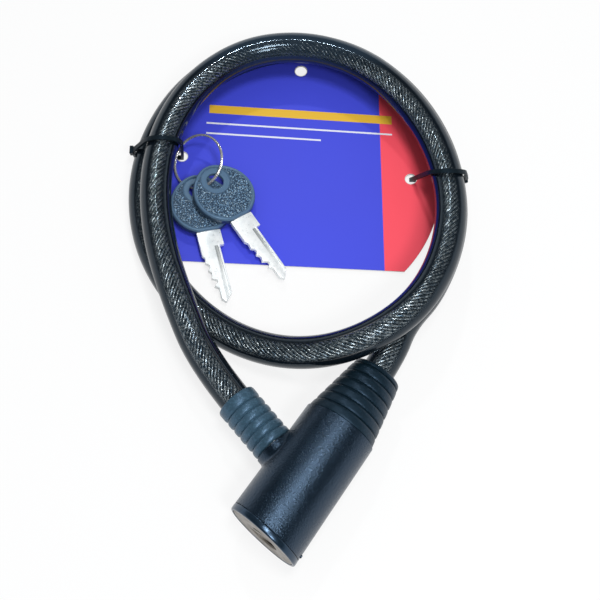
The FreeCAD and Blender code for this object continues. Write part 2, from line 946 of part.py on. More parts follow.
# Removable end
def make_plug_pin():
    turning = new_body("plug_pin_turning")
    turned(
        turning,
        "pin_turning",
        [
            (-sizes.pin_tip, ZERO),
            (-sizes.pin_tip, sizes.pin_radius - sizes.pin_tip_chamfer),
            (-sizes.pin_tip + sizes.pin_tip_chamfer, sizes.pin_radius),
            (sizes.flange_start, sizes.pin_radius),
            (sizes.flange_start, sizes.flange_radius),
            (sizes.flange_end, sizes.flange_radius),
            (sizes.flange_end, sizes.rope_radius),
            (sizes.stub_end, sizes.rope_radius),
            (sizes.stub_end, ZERO),
        ],
    )
    wide = sizes.pin_radius * 2
    notch = block(
        "pin_notch",
        (-sizes.pin_notch_low, ZERO, -wide),
        (sizes.pin_notch_low + sizes.pin_notch_high, wide, wide * 2),
    )
    relief = block(
        "pin_relief",
        (-sizes.pin_tip * 2, ZERO, sizes.cam_flat - sizes.running_gap * 4),
        (sizes.pin_tip * 2, wide, wide),
    )
    pin = cut("plug_pin", turning, [notch, relief])
    place_on_branch(pin)
    name_part(pin, "plug_pin")


def make_plug_ferrule():
    body = new_body("plug_ferrule")
    corners = [(sizes.flange_end, sizes.sleeve_radius)]
    for step in range(2):
        low = sizes.stub_end + sizes.crimp_width * (1 + 2.5 * step)
        high = low + sizes.crimp_width
        corners += [
            (low, sizes.sleeve_radius),
            (low, sizes.sleeve_radius - sizes.crimp_depth),
            (high, sizes.sleeve_radius - sizes.crimp_depth),
            (high, sizes.sleeve_radius),
        ]
    corners += [
        (sizes.sleeve_end, sizes.sleeve_radius),
        (sizes.sleeve_end, sizes.rope_radius + sizes.seat_gap),
        (sizes.flange_end, sizes.rope_radius + sizes.seat_gap),
    ]
    turned(body, "sleeve_turning", corners)
    place_on_branch(body)
    name_part(body, "plug_ferrule")


def make_plug_boot():
    body = new_body("plug_boot")
    ribbed = sizes.plug_boot_end - sizes.plug_boot_start - sizes.plug_boot_band
    pitch = ribbed / PLUG_BOOT_RINGS
    bore = sizes.sleeve_radius + sizes.seat_gap
    cable_bore = sizes.cable_radius + sizes.seat_gap
    flange_bore = sizes.flange_radius + sizes.seat_gap

    def radius_at(position):
        return sizes.plug_boot_radius + position * 0.0

    edge = sizes.boot_groove_depth
    corners = [(sizes.plug_boot_start, flange_bore)]
    corners += ringed_profile(sizes.plug_boot_start, pitch, PLUG_BOOT_RINGS, radius_at)
    corners += [
        (sizes.plug_boot_start + ribbed, sizes.plug_boot_radius),
        (sizes.plug_boot_end - edge, sizes.plug_boot_radius),
        (sizes.plug_boot_end, sizes.plug_boot_radius - edge),
        (sizes.plug_boot_end, cable_bore),
        (sizes.sleeve_end, cable_bore),
        (sizes.sleeve_end, bore),
        (sizes.flange_end, bore),
        (sizes.flange_end, flange_bore),
    ]
    turned(body, "plug_boot_turning", corners)
    place_on_branch(body)
    name_part(body, "plug_boot")


# Cable
def head_point(along):
    angle = math.radians(sizes.head_angle.value)
    return Vector(
        sizes.face_x.value + along * math.cos(angle),
        sizes.face_y.value + along * math.sin(angle),
        head_height.value,
    )


def branch_point(along):
    angle = math.radians(BRANCH_YAW.value)
    foot = head_point(sizes.branch_at.value)
    return foot + Vector(math.cos(angle), math.sin(angle), 0) * along


def rounded_path(points):
    """Straight runs joined by tangent arcs, each as large as its two runs allow."""
    edges = []
    radii = []
    start = points[0]
    for before, corner, after in zip(points, points[1:], points[2:]):
        back = before - corner
        ahead = after - corner
        shorter = min(back.Length, ahead.Length, sizes.lead_length.value)
        back.normalize()
        ahead.normalize()
        half_turn = (math.pi - back.getAngle(ahead)) / 2
        reach = 0.45 * shorter
        radius = reach / math.tan(half_turn)
        middle = back + ahead
        middle.normalize()
        entry = corner + back * reach
        leave = corner + ahead * reach
        apex = corner + middle * (radius / math.cos(half_turn) - radius)
        edges.append(Part.LineSegment(start, entry).toShape())
        edges.append(Part.Arc(entry, apex, leave).toShape())
        radii.append(radius)
        start = leave
    edges.append(Part.LineSegment(start, points[-1]).toShape())
    return Part.Wire(edges), radii


def tube(path, radius):
    """A round tube swept along a path."""
    first = path.Edges[0]
    direction = first.tangentAt(first.FirstParameter)
    section = Part.Wire([Part.makeCircle(radius, first.valueAt(first.FirstParameter), direction)])
    return path.makePipeShell([section], True, False)


def checked_tube(label, path, radii, outer, inner=None):
    """A tube with or without a bore, with its volume set against section times length."""
    solid = tube(path, outer)
    section = math.pi * outer**2
    if inner is not None:
        solid = solid.cut(tube(path, inner))
        section -= math.pi * inner**2
    share = solid.Volume / (section * path.Length)
    print(
        label,
        f"length {path.Length:.1f} volume share {share:.4f}",
        "bend radii",
        " ".join(f"{radius:.0f}" for radius in radii),
    )
    feature = doc.addObject("Part::Feature", label)
    feature.Shape = solid
    name_part(feature, label)


def least_self_gap(path, radius):
    """Least clear distance between laps, measured on points along the path."""
    step = 2.0
    spots = path.discretize(Distance=step)
    skip = int(6 * radius / step)
    least = min(
        (one - other).Length
        for index, one in enumerate(spots)
        for other in spots[index + skip:]
    )
    return least - 2 * radius


def make_cable():
    outer = sizes.cable_radius.value
    rope = sizes.rope_radius.value
    bore = rope + sizes.jacket_gap.value
    laps = [Vector(*point) for point in LOOP_POINTS]
    last = [Vector(*point) for point in END_POINTS]
    meeting = (laps[-1] + last[0]) * 0.5
    first_bend = branch_point(sizes.sleeve_end.value + sizes.lead_length.value)
    last_bend = head_point(sizes.ferrule_end.value + sizes.exit_run.value)
    loop = [first_bend] + laps + [meeting]
    end = [meeting] + last + [last_bend]
    spans = {
        "cable_loop_jacket": ([branch_point(sizes.sleeve_end.value)] + loop, outer, bore),
        "cable_loop_core": ([branch_point(sizes.stub_end.value)] + loop, rope, None),
        "cable_end_jacket": (end + [head_point(sizes.ferrule_end.value)], outer, bore),
        "cable_end_core": (end + [head_point(sizes.ferrule_bore_start.value)], rope, None),
    }
    for label, (points, radius, inside) in spans.items():
        path, radii = rounded_path(points)
        checked_tube(label, path, radii, radius, inside)
    whole = [branch_point(sizes.sleeve_end.value), first_bend] + laps + last
    whole += [last_bend, head_point(sizes.ferrule_end.value)]
    path, radii = rounded_path(whole)
    print(f"cable length {path.Length:.1f} least gap to itself {least_self_gap(path, outer):.2f}")
    return path


# Keys
def key_placement(obj, prefix):
    base = [getattr(sizes, f"{prefix}_{axis}") for axis in "xyz"]
    turns = [getattr(sizes, f"{prefix}_{turn}") for turn in ("yaw", "pitch", "roll")]
    obj.Placement = FreeCAD.Placement(
        Vector(*[size.value for size in base]), FreeCAD.Rotation(*[turn.value for turn in turns])
    )
    for axis, size in zip("xyz", base):
        obj.setExpression(f"Placement.Base.{axis}", size.text)
    angles = "; ".join(turn.text for turn in turns)
    obj.setExpression("Placement.Rotation", f"create(<<rotation>>; {angles})")


def make_key_blade(prefix, label):
    body = new_body(label)
    root = sizes.blade_root_width / 2
    half = sizes.blade_width / 2
    tip = sizes.blade_tip_width / 2
    tang = sizes.tang_width / 2
    corners = [
        (sizes.tang_start, -tang),
        (sizes.bow_flat_at, -tang),
        (sizes.bow_flat_at, -root),
    ]
    for step, share in enumerate(KEY_CUTS):
        low = sizes.cut_first + sizes.cut_pitch * step
        depth = sizes.cut_depth * share
        crest = root - (root - half) * (step / (len(KEY_CUTS) - 1))
        corners += [
            (low, -crest),
            (low + sizes.cut_pitch * 0.3, depth - crest),
            (low + sizes.cut_pitch * 0.6, depth - crest),
        ]
    corners += [
        (sizes.blade_tip_at - tip, -tip),
        (sizes.blade_tip_at, ZERO),
        (sizes.blade_tip_at - tip, tip),
        (sizes.blade_tip_at - sizes.cut_pitch, half),
        (sizes.blade_shoulder_at, half),
        (sizes.blade_shoulder_at, root),
        (sizes.bow_flat_at, root),
        (sizes.bow_flat_at, tang),
        (sizes.tang_start, tang),
    ]
    outline = polygon_sketch(body, label + "_outline", "XY_Plane", corners)
    padded(body, label + "_plate", outline, sizes.blade_thickness, midplane=True)
    groove_high = half - sizes.blade_groove_width / 2
    groove_low = groove_high - sizes.blade_groove_width
    for side, sign in (("top", 1), ("bottom", -1)):
        groove = polygon_sketch(
            body,
            f"{label}_{side}_groove_outline",
            "XY_Plane",
            [
                (sizes.blade_shoulder_at, groove_low),
                (sizes.blade_tip_at, groove_low),
                (sizes.blade_tip_at, groove_high),
                (sizes.blade_shoulder_at, groove_high),
            ],
            height=(sizes.blade_thickness / 2 - sizes.blade_groove_depth) * sign,
        )
        pocketed(body, f"{label}_{side}_groove", groove, sizes.blade_thickness, reverse=sign > 0)
    key_placement(body, prefix)
    name_part(body, label)


def make_key_bow(prefix, label):
    disc = cylinder(
        label + "_disc",
        sizes.bow_radius,
        -sizes.bow_thickness / 2,
        sizes.bow_thickness,
        axis="z",
        x=sizes.bow_centre_at,
    )
    far = sizes.bow_radius * 4
    beyond = block(
        label + "_beyond",
        (sizes.bow_flat_at, -far / 2, -far / 2),
        (far, far, far),
    )
    hole = cylinder(
        label + "_hole",
        sizes.bow_hole_radius,
        -sizes.bow_thickness,
        sizes.bow_thickness * 2,
        axis="z",
        x=-sizes.bow_hole_offset,
    )
    upper_dip = cylinder(
        label + "_upper_dip",
        sizes.bow_dip_radius,
        sizes.bow_dip_thickness / 2,
        sizes.bow_thickness,
        axis="z",
        x=-sizes.bow_hole_offset,
    )
    lower_dip = cylinder(
        label + "_lower_dip",
        sizes.bow_dip_radius,
        -sizes.bow_dip_thickness / 2 - sizes.bow_thickness,
        sizes.bow_thickness,
        axis="z",
        x=-sizes.bow_hole_offset,
    )
    tang = block(
        label + "_tang_slot",
        (
            sizes.tang_start - sizes.seat_gap,
            -sizes.tang_width / 2 - sizes.seat_gap,
            -sizes.blade_thickness / 2 - sizes.seat_gap,
        ),
        (
            sizes.bow_radius,
            sizes.tang_width + sizes.seat_gap * 2,
            sizes.blade_thickness + sizes.seat_gap * 2,
        ),
    )
    bow = cut(label, disc, [beyond, hole, upper_dip, lower_dip, tang])
    key_placement(bow, prefix)
    name_part(bow, label)


def make_key_ring():
    ring = doc.addObject("Part::Torus", "key_ring")
    bind(ring, "Radius1", sizes.ring_radius)
    bind(ring, "Radius2", sizes.ring_wire_radius)
    rise = sizes.ring_rise_direction
    base = (sizes.ring_x, sizes.ring_y, sizes.ring_z)
    axis = Vector(math.sin(math.radians(rise.value)), -math.cos(math.radians(rise.value)), 0)
    ring.Placement = FreeCAD.Placement(
        Vector(*[size.value for size in base]), FreeCAD.Rotation(axis, sizes.ring_tilt.value)
    )
    for letter, size in zip("xyz", base):
        ring.setExpression(f"Placement.Base.{letter}", size.text)
    ring.setExpression("Placement.Rotation.Angle", f"{sizes.ring_tilt.text} * 1 deg")
    name_part(ring, "key_ring")


# Display card and ties
def make_display_card():
    body = new_body("display_card")
    disc = circle_sketch(
        body,
        "card_disc_outline",
        "XY_Plane",
        [(sizes.card_centre_x, sizes.card_centre_y, sizes.card_radius)],
    )
    padded(body, "card_disc", disc, sizes.card_thickness)
    far = sizes.card_radius * 2
    slope = tangent(sizes.card_cut_slope)
    lower = polygon_sketch(
        body,
        "card_cut_outline",
        "XY_Plane",
        [
            (-far, sizes.card_cut_y - far * slope),
            (-far, sizes.card_cut_y - far),
            (far, sizes.card_cut_y - far),
            (far, sizes.card_cut_y + far * slope),
        ],
    )
    pocketed(body, "card_cut", lower, reverse=True)
    holes = circle_sketch(
        body,
        "card_hole_outline",
        "XY_Plane",
        [
            (sizes.hang_hole_x, sizes.hang_hole_y, sizes.hang_hole_radius),
            (sizes.left_tie_x, sizes.left_tie_y, sizes.tie_hole_radius),
            (sizes.right_tie_x, sizes.right_tie_y, sizes.tie_hole_radius),
        ],
    )
    pocketed(body, "card_holes", holes, reverse=True)
    body.setExpression("Placement.Base.z", sizes.card_low.text)
    name_part(body, "display_card")


def laps_at(path, plane_y, lean, side):
    """Where the cable crosses a leaning tie's plane on one side, highest first, and its slant there."""
    found = []
    spots = path.discretize(Distance=0.5)
    for one, other in zip(spots, spots[1:]):
        before = one.y + lean * one.z - plane_y
        after = other.y + lean * other.z - plane_y
        if one.x * side > 0 or before * after > 0:
            continue
        step = other - one
        spot = one + step * (before / (before - after))
        found.append((spot.z, spot.x, abs(step.x / step.y)))
    found.sort(reverse=True)
    return [(x, z) for z, x, slant in found], max(slant for z, x, slant in found)


def make_tie(label, path, hole_x, hole_y, head_z, lean, side):
    """A strap from the card's hole over both laps, down outside them and back under the card.

    It is drawn upright and then sheared, so that it leans from the hole towards -Y.
    """
    thickness = sizes.tie_thickness.value
    plane_y = hole_y + lean * sizes.card_low
    (upper, lower), slant = laps_at(path, plane_y.value, lean.value, side)
    bend = sizes.cable_radius.value * (math.hypot(1, slant) + lean.value * slant / 2)
    bend += sizes.tie_width.value / 2 * slant
    bend += sizes.tie_gap.value + thickness / 2
    floor = thickness / 2
    corner = sizes.tie_corner.value
    hole = (hole_x.value * side, floor)
    upper = (upper[0] * side, upper[1])
    lower = (lower[0] * side, lower[1])

    def spot(centre, radius, angle):
        return (centre[0] + radius * math.cos(angle), centre[1] + radius * math.sin(angle))

    def lift(point):
        return Vector(point[0] * side, plane_y.value, point[1])

    def arc(centre, radius, start, end):
        middle = (start + end) / 2
        spots = [lift(spot(centre, radius, angle)) for angle in (start, middle, end)]
        return Part.Arc(*spots).toShape()

    def line(start, end):
        return Part.LineSegment(lift(start), lift(end)).toShape()

    outer_x = lower[0] - bend
    slope = math.atan2(upper[1] - lower[1], upper[0] - lower[0])
    over = slope + math.pi / 2
    reach = math.hypot(upper[0] - hole[0], upper[1] - hole[1])
    toward = math.atan2(upper[1] - hole[1], upper[0] - hole[0])
    drop = toward - math.asin(bend / reach)
    last = drop - math.pi / 2
    turn_centre = (outer_x + corner, floor + corner)
    foot = (outer_x, floor + corner)
    hip = (outer_x, lower[1])
    edges = [
        line(hole, (turn_centre[0], floor)),
        arc(turn_centre, corner, -math.pi / 2, -math.pi),
        line(foot, hip),
        arc(lower, bend, math.pi, over),
        line(spot(lower, bend, over), spot(upper, bend, over)),
        arc(upper, bend, over, last),
        line(spot(upper, bend, last), hole),
    ]
    band = Part.Face(Part.Wire(Part.__sortEdges__(edges)))
    half = thickness / 2
    outside = band.makeOffset2D(half)
    inside = band.makeOffset2D(-half)
    strap = outside.cut(inside)
    width = sizes.tie_width.value
    strap = strap.extrude(Vector(0, width, 0))
    strap.translate(Vector(0, -width / 2, 0))
    depth = sizes.tie_head_depth.value
    head_width = sizes.tie_head_width.value
    head_height_value = sizes.tie_head_height.value
    head_x = outer_x - half - depth + thickness * 0.8
    head = Part.makeBox(depth, head_width, head_height_value)
    corner_x = head_x if side > 0 else -(head_x + depth)
    head.translate(Vector(corner_x, plane_y.value - head_width / 2, head_z.value - head_height_value / 2))
    feature = doc.addObject("Part::Feature", label)
    shear = FreeCAD.Matrix()
    shear.A23 = -lean.value
    feature.Shape = strap.fuse(head).removeSplitter().transformGeometry(shear)
    name_part(feature, label)


make_housing_shell()
make_end_cap()
make_face_plate()
make_lock_case()
make_retaining_pin()
make_cylinder_plug()
make_wafers()
make_wafer_springs()
make_cam_tail()
make_fixed_ferrule()
make_roll_pin()
make_tail_boot()
make_plug_pin()
make_plug_ferrule()
make_plug_boot()
cable_path = make_cable()
for prefix, name in (("key_one", "key_1"), ("key_two", "key_2")):
    make_key_blade(prefix, name + "_blade")
    make_key_bow(prefix, name + "_bow")
make_key_ring()
make_display_card()
for side, (name, prefix) in {1: ("tie_left", "left"), -1: ("tie_right", "right")}.items():
    hole_x, hole_y, head_z, lean = (
        getattr(sizes, f"{prefix}_tie_{word}") for word in ("x", "y", "head_z", "lean")
    )
    make_tie(name, cable_path, hole_x, hole_y, head_z, lean, side)
doc.recompute()


# Checks and files
def check_document():
    faults = [item.Label for item in doc.Objects if {"Invalid", "Error"} & set(item.State)]
    for part in parts:
        if part.Shape.isNull() or not part.Shape.isValid():
            faults.append(part.Label)
    if faults:
        raise RuntimeError("failed objects: " + ", ".join(faults))


check_document()
for part in parts:
    shape = part.Shape
    print(part.Label, "solids", len(shape.Solids), f"volume {shape.Volume:.1f}")
    shape.exportStep(os.path.join("parts", part.Label + ".step"))
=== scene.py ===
import math

import bmesh
import bpy
from mathutils import Matrix, Vector


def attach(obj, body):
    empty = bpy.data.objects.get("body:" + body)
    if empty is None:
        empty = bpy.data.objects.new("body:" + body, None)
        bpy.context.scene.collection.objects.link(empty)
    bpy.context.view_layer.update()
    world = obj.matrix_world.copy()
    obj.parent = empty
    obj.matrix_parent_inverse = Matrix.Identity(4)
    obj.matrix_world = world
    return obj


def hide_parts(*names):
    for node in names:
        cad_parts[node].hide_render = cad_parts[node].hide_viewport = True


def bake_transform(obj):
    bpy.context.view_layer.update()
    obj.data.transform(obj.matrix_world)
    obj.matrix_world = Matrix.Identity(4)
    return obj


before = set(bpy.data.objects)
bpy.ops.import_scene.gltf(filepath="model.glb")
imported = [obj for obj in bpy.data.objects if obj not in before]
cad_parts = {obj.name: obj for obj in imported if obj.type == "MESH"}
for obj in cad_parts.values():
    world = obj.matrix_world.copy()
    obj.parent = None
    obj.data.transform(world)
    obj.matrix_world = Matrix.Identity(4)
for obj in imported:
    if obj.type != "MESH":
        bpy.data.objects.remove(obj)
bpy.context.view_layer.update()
bpy.context.scene.view_settings.view_transform = "Standard"


# Socket arithmetic for materials and geometry trees
class Link:
    """An output of a node. Python's operators on it add Math nodes."""

    def __init__(self, tree, node, output=0):
        self.tree, self.node, self.socket = tree, node, node.outputs[output]

    def out(self, output):
        return Link(self.tree, self.node, output)

    def math(self, operation, *inputs):
        return self.tree.node("ShaderNodeMath", {"operation": operation}, dict(enumerate(inputs)))

    def __add__(self, other):
        return self.math("ADD", self, other)

    def __sub__(self, other):
        return self.math("SUBTRACT", self, other)

    def __rsub__(self, other):
        return self.math("SUBTRACT", other, self)

    def __mul__(self, other):
        return self.math("MULTIPLY", self, other)

    def __truediv__(self, other):
        return self.math("DIVIDE", self, other)

    def __gt__(self, other):
        return self.math("GREATER_THAN", self, other)

    def __lt__(self, other):
        return self.math("LESS_THAN", self, other)

    __radd__, __rmul__ = __add__, __mul__

    def sine(self):
        return self.math("SINE", self)

    def cosine(self):
        return self.math("COSINE", self)

    def size(self):
        return self.math("ABSOLUTE", self)

    def most(self, other):
        return self.math("MAXIMUM", self, other)

    def between(self, low, high, to_low=0.0, to_high=1.0):
        """A smooth change from to_low to to_high while this value goes from low to high."""
        settings = {"interpolation_type": "SMOOTHSTEP", "clamp": True}
        inputs = {"Value": self, 1: low, 2: high, 3: to_low, 4: to_high}
        return self.tree.node("ShaderNodeMapRange", settings, inputs)

    def vector(self, operation, *inputs):
        sockets = dict(enumerate((self, *inputs)))
        if operation == "SCALE":
            sockets = {0: self, "Scale": inputs[0]}
        return self.tree.node("ShaderNodeVectorMath", {"operation": operation}, sockets)

    def parts(self):
        """This vector's X, Y and Z."""
        split = self.tree.node("ShaderNodeSeparateXYZ", {}, {0: self})
        return split, split.out("Y"), split.out("Z")


class Tree:
    """A node tree, with one method that adds any node."""

    def __init__(self, group):
        self.group = group

    def node(self, kind, settings=None, inputs=None, output=0):
        made = self.group.nodes.new(kind)
        for name, value in (settings or {}).items():
            setattr(made, name, value)
        for name, value in (inputs or {}).items():
            if isinstance(value, Link):
                self.group.links.new(value.socket, made.inputs[name])
            else:
                made.inputs[name].default_value = value
        return Link(self, made, output) if len(made.outputs) else made

    def mixed(self, factor, first, second):
        """A colour between two colours."""
        settings = {"data_type": "RGBA", "clamp_factor": True}
        return self.node("ShaderNodeMix", settings, {0: factor, 6: first, 7: second}, 2)

    def noise(self, place, scale, detail=2.0, roughness=0.5):
        inputs = {"Vector": place, "Scale": scale, "Detail": detail, "Roughness": roughness}
        return self.node("ShaderNodeTexNoise", {}, inputs)

    def bump(self, height, strength, distance):
        inputs = {"Height": height, "Strength": strength, "Distance": distance}
        return self.node("ShaderNodeBump", {}, inputs)

    def marked(self, name, output="Fac"):
        """A piece's own attribute."""
        return self.node("ShaderNodeAttribute", {"attribute_name": name}, output=output)

    def seen_by_eye(self):
        """1 for rays from the camera, also by way of metal and glass, and 0 for rays that light things."""
        rays = self.node("ShaderNodeLightPath")
        mirrored = rays.out("Is Camera Ray").most(rays.out("Is Glossy Ray"))
        return mirrored.most(rays.out("Is Transmission Ray"))


def finish_of(name):
    """A new material, its tree, its Object coordinates and a function that sets its surface's sockets."""
    material = bpy.data.materials.new(name)
    material.use_nodes = True
    tree = Tree(material.node_tree)
    shader = material.node_tree.nodes["Principled BSDF"]

    def surface(**inputs):
        for key, value in inputs.items():
            socket = shader.inputs[key.replace("_", " ")]
            if isinstance(value, Link):
                tree.group.links.new(value.socket, socket)
            else:
                socket.default_value = value

    place = tree.node("ShaderNodeTexCoord", output="Object")
    return material, tree, place, surface


def grey(value):
    return (value, value, value, 1.0)


def scaled(colour, factor):
    """A colour made darker or lighter."""
    return tuple(value * factor for value in colour[:3]) + (1.0,)


# Places on the lock head, in metres and degrees. The head's axis runs from its face to the cable's fixed end,
# and the plug's axis leaves it at the crossing.
MM = 0.001
HEAD_HEIGHT = 0.01445
HEAD_ANGLE, BRANCH_ANGLE = 55.2, 130.0
FACE = Vector((-0.01228, -0.12968, HEAD_HEIGHT))
FACE_TO_CROSSING = 0.02406


def along(start, angle, distance):
    """The place at the head's height that lies a distance from a start, in a direction in degrees."""
    turn = math.radians(angle)
    return Vector((start[0] + math.cos(turn) * distance, start[1] + math.sin(turn) * distance, HEAD_HEIGHT))


CROSSING = along(FACE, HEAD_ANGLE, FACE_TO_CROSSING)

# Camera
camera_data = bpy.data.cameras.new("camera")
camera_data.lens, camera_data.sensor_width = 63.0, 36.0
camera_data.clip_start = 0.01
camera = bpy.data.objects.new("camera", camera_data)
camera.location = (0.000389, -0.195096, 0.375030)
camera.rotation_euler = (math.radians(23.0), 0.0, 0.0)
bpy.context.scene.collection.objects.link(camera)
bpy.context.scene.camera = camera

# The cable's line: out of the plug, round the upper lap and the lower one, and into the head's tail
CABLE_RADIUS = 0.006
CROSSING_TO_START, CROSSING_TO_OUTSIDE = 0.0305, 0.0555
FACE_TO_END, FACE_TO_TAIL_TIP, FACE_TO_OUTSIDE = 0.057, 0.0715, 0.079
LAPS = [
    (-0.0445, -0.0445, 0.0210), (-0.0525, -0.0210, 0.0205), (-0.0560, 0.0040, 0.0195),
    (-0.0530, 0.0290, 0.0190), (-0.0415, 0.0515, 0.0190), (-0.0210, 0.0670, 0.0190),
    (0.0040, 0.0695, 0.0190), (0.0275, 0.0600, 0.0195), (0.0450, 0.0415, 0.0195),
    (0.0555, 0.0190, 0.0200), (0.0590, -0.0060, 0.0210), (0.0535, -0.0310, 0.0225),
    (0.0400, -0.0525, 0.0270), (0.0175, -0.0650, 0.0244), (-0.0055, -0.0640, 0.0150),
    (-0.0280, -0.0540, 0.0090), (-0.0470, -0.0370, 0.0080), (-0.0590, -0.0150, 0.0081),
    (-0.0625, 0.0105, 0.0082), (-0.0575, 0.0350, 0.0081), (-0.0450, 0.0570, 0.0081),
    (-0.0245, 0.0720, 0.0081), (0.0000, 0.0780, 0.0081), (0.0245, 0.0710, 0.0081),
    (0.0435, 0.0540, 0.0082), (0.0560, 0.0320, 0.0081), (0.0610, 0.0075, 0.0081),
]
LAST = [(0.0594, -0.0135, 0.0083), (0.0500, -0.0365, 0.0097), (0.0384, -0.0500, 0.0120)]
MEETING = (Vector(LAPS[-1]) + Vector(LAST[0])) / 2
CABLE_START = along(CROSSING, BRANCH_ANGLE, CROSSING_TO_START)
CABLE_END = along(FACE, HEAD_ANGLE, FACE_TO_END)


def line_points(route):
    """The points of the smooth line that goes by a route."""
    curve = bpy.data.curves.new("route", "CURVE")
    curve.dimensions = "3D"
    spline = curve.splines.new("NURBS")
    spline.points.add(len(route) - 1)
    for point, place in zip(spline.points, route):
        point.co = (*place, 1.0)
    spline.order_u = 3
    spline.use_endpoint_u = True
    spline.resolution_u = 24
    line = bpy.data.objects.new("route", curve)
    bpy.context.scene.collection.objects.link(line)
    mesh = bpy.data.meshes.new_from_object(line.evaluated_get(bpy.context.evaluated_depsgraph_get()))
    points = [vertex.co.copy() for vertex in mesh.vertices]
    bpy.data.objects.remove(line)
    return points


def length_of(points):
    return sum((b - a).length for a, b in zip(points, points[1:]))


cable_points = line_points(
    [CABLE_START, along(CROSSING, BRANCH_ANGLE, CROSSING_TO_OUTSIDE)] + LAPS + LAST
    + [along(FACE, HEAD_ANGLE, FACE_TO_OUTSIDE), CABLE_END]
)
meeting_at = min(range(len(cable_points)), key=lambda i: (cable_points[i] - MEETING).length)
loop_points = cable_points[: meeting_at + 1]
loop_length, cable_length = length_of(loop_points), length_of(cable_points)


# Meshes
SHARP_FROM = math.radians(38.0)
BEVEL_FROM = math.radians(30.0)
FLAT_BELOW = math.radians(2.0)


def mesh_object(name, mesh, *materials):
    made = bpy.data.objects.new(name, mesh)
    bpy.context.scene.collection.objects.link(made)
    for material in materials:
        mesh.materials.append(material)
    return made


def polyline(points):
    """A chain of edges for a geometry tree to start from."""
    mesh = bpy.data.meshes.new("line")
    mesh.from_pydata([tuple(point) for point in points], [(i, i + 1) for i in range(len(points) - 1)], [])
    return mesh_object("line", mesh)


def made_by(tree, name, base, **inputs):
    """The plain mesh that a geometry tree makes of a base object."""
    modifier = base.modifiers.new("make", "NODES")
    modifier.node_group = tree
    for item in tree.interface.items_tree:
        key = item.name.replace(" ", "_")
        if item.in_out == "INPUT" and key in inputs:
            modifier[item.identifier] = inputs[key]
    depsgraph = bpy.context.evaluated_depsgraph_get()
    mesh = bpy.data.meshes.new_from_object(base.evaluated_get(depsgraph), depsgraph=depsgraph)
    bpy.data.objects.remove(base)
    mesh.name = name
    return mesh_object(name, mesh)


def shaded(mesh):
    """Smooth faces, with sharp edges kept where two faces turn by more than an angle."""
    mesh.shade_smooth()
    mesh.set_sharp_from_angle(angle=SHARP_FROM)


def skinned(name, rings, finish, closed=True):
    """A surface over rings of equally many points. A closed one joins its ends, another has them capped."""
    count = len(rings[0])
    vertices = [tuple(point) for ring in rings for point in ring]
    faces = []
    for row in range(len(rings) if closed else len(rings) - 1):
        low, high = row * count, (row + 1) % len(rings) * count
        for i in range(count):
            j = (i + 1) % count
            faces.append((low + i, low + j, high + j, high + i))
    if not closed:
        faces += [tuple(range(count)), tuple(range(len(vertices) - count, len(vertices)))]
    mesh = bpy.data.meshes.new(name)
    mesh.from_pydata(vertices, [], faces)
    work = bmesh.new()
    work.from_mesh(mesh)
    bmesh.ops.remove_doubles(work, verts=work.verts, dist=1e-6)
    bmesh.ops.recalc_face_normals(work, faces=work.faces)
    work.to_mesh(mesh)
    work.free()
    shaded(mesh)
    return mesh_object(name, mesh, finish)


def turned(name, start, angle, profile, finish, slant=0.0, sides=112):
    """A ring turned round an axis from start. Its section is a closed line of (distance, radius) in mm."""
    turn = math.radians(angle)
    way = Vector((math.cos(turn), math.sin(turn), 0.0))
    left = Vector((-math.sin(turn), math.cos(turn), 0.0))
    lean = math.tan(math.radians(slant))
    rings = []
    for distance, radius in profile:
        ring = []
        for i in range(sides):
            side = radius * math.cos(2 * math.pi * i / sides)
            rise = radius * math.sin(2 * math.pi * i / sides)
            spot = way * (distance + side * lean) + left * side + Vector((0.0, 0.0, rise))
            ring.append(start + spot * MM)
        rings.append(ring)
    return skinned(name, rings, finish)


def bands(start, pitch, count, radius, slope, sink, power, steps=9):
    """The outside of bands that swell between narrow grooves. Each ends just short of the next one."""
    gap = pitch * 0.004
    line = []
    for band in range(count):
        for step in range(steps + 1):
            share = step / steps
            distance = start + pitch * (band + share)
            swell = radius + slope * (distance - start) - sink * abs(2 * share - 1) ** power
            line.append((distance - gap if step == steps else distance, swell))
    return line


def softened(name, node, width, finish):
    """A copy of a CAD node with its edges rounded."""
    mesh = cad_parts[node].data.copy()
    work = bmesh.new()
    work.from_mesh(mesh)
    bmesh.ops.remove_doubles(work, verts=work.verts, dist=2e-6)
    bmesh.ops.dissolve_limit(work, angle_limit=FLAT_BELOW, verts=work.verts, edges=work.edges)
    inner = [edge for edge in work.edges if len(edge.link_faces) == 2]
    sharp = [edge for edge in inner if edge.calc_face_angle(0.0) > BEVEL_FROM]
    bmesh.ops.bevel(
        work, geom=sharp, offset=width, segments=3, profile=0.5, affect="EDGES", clamp_overlap=True
    )
    work.to_mesh(mesh)
    work.free()
    mesh.materials.clear()
    made = mesh_object(name, mesh, finish)
    shaded(mesh)
    return made


def new_geometry(name, **sockets):
    """A geometry tree with an input for each named socket, and the node that gives their values."""
    group = bpy.data.node_groups.new(name, "GeometryNodeTree")
    group.interface.new_socket("Geometry", in_out="OUTPUT", socket_type="NodeSocketGeometry")
    group.interface.new_socket("Geometry", in_out="INPUT", socket_type="NodeSocketGeometry")
    for key, (kind, value) in sockets.items():
        made = group.interface.new_socket(
            key.replace("_", " "), in_out="INPUT", socket_type="NodeSocket" + kind
        )
        if value is not None:
            made.default_value = value
    tree = Tree(group)
    return group, tree, tree.node("NodeGroupInput")


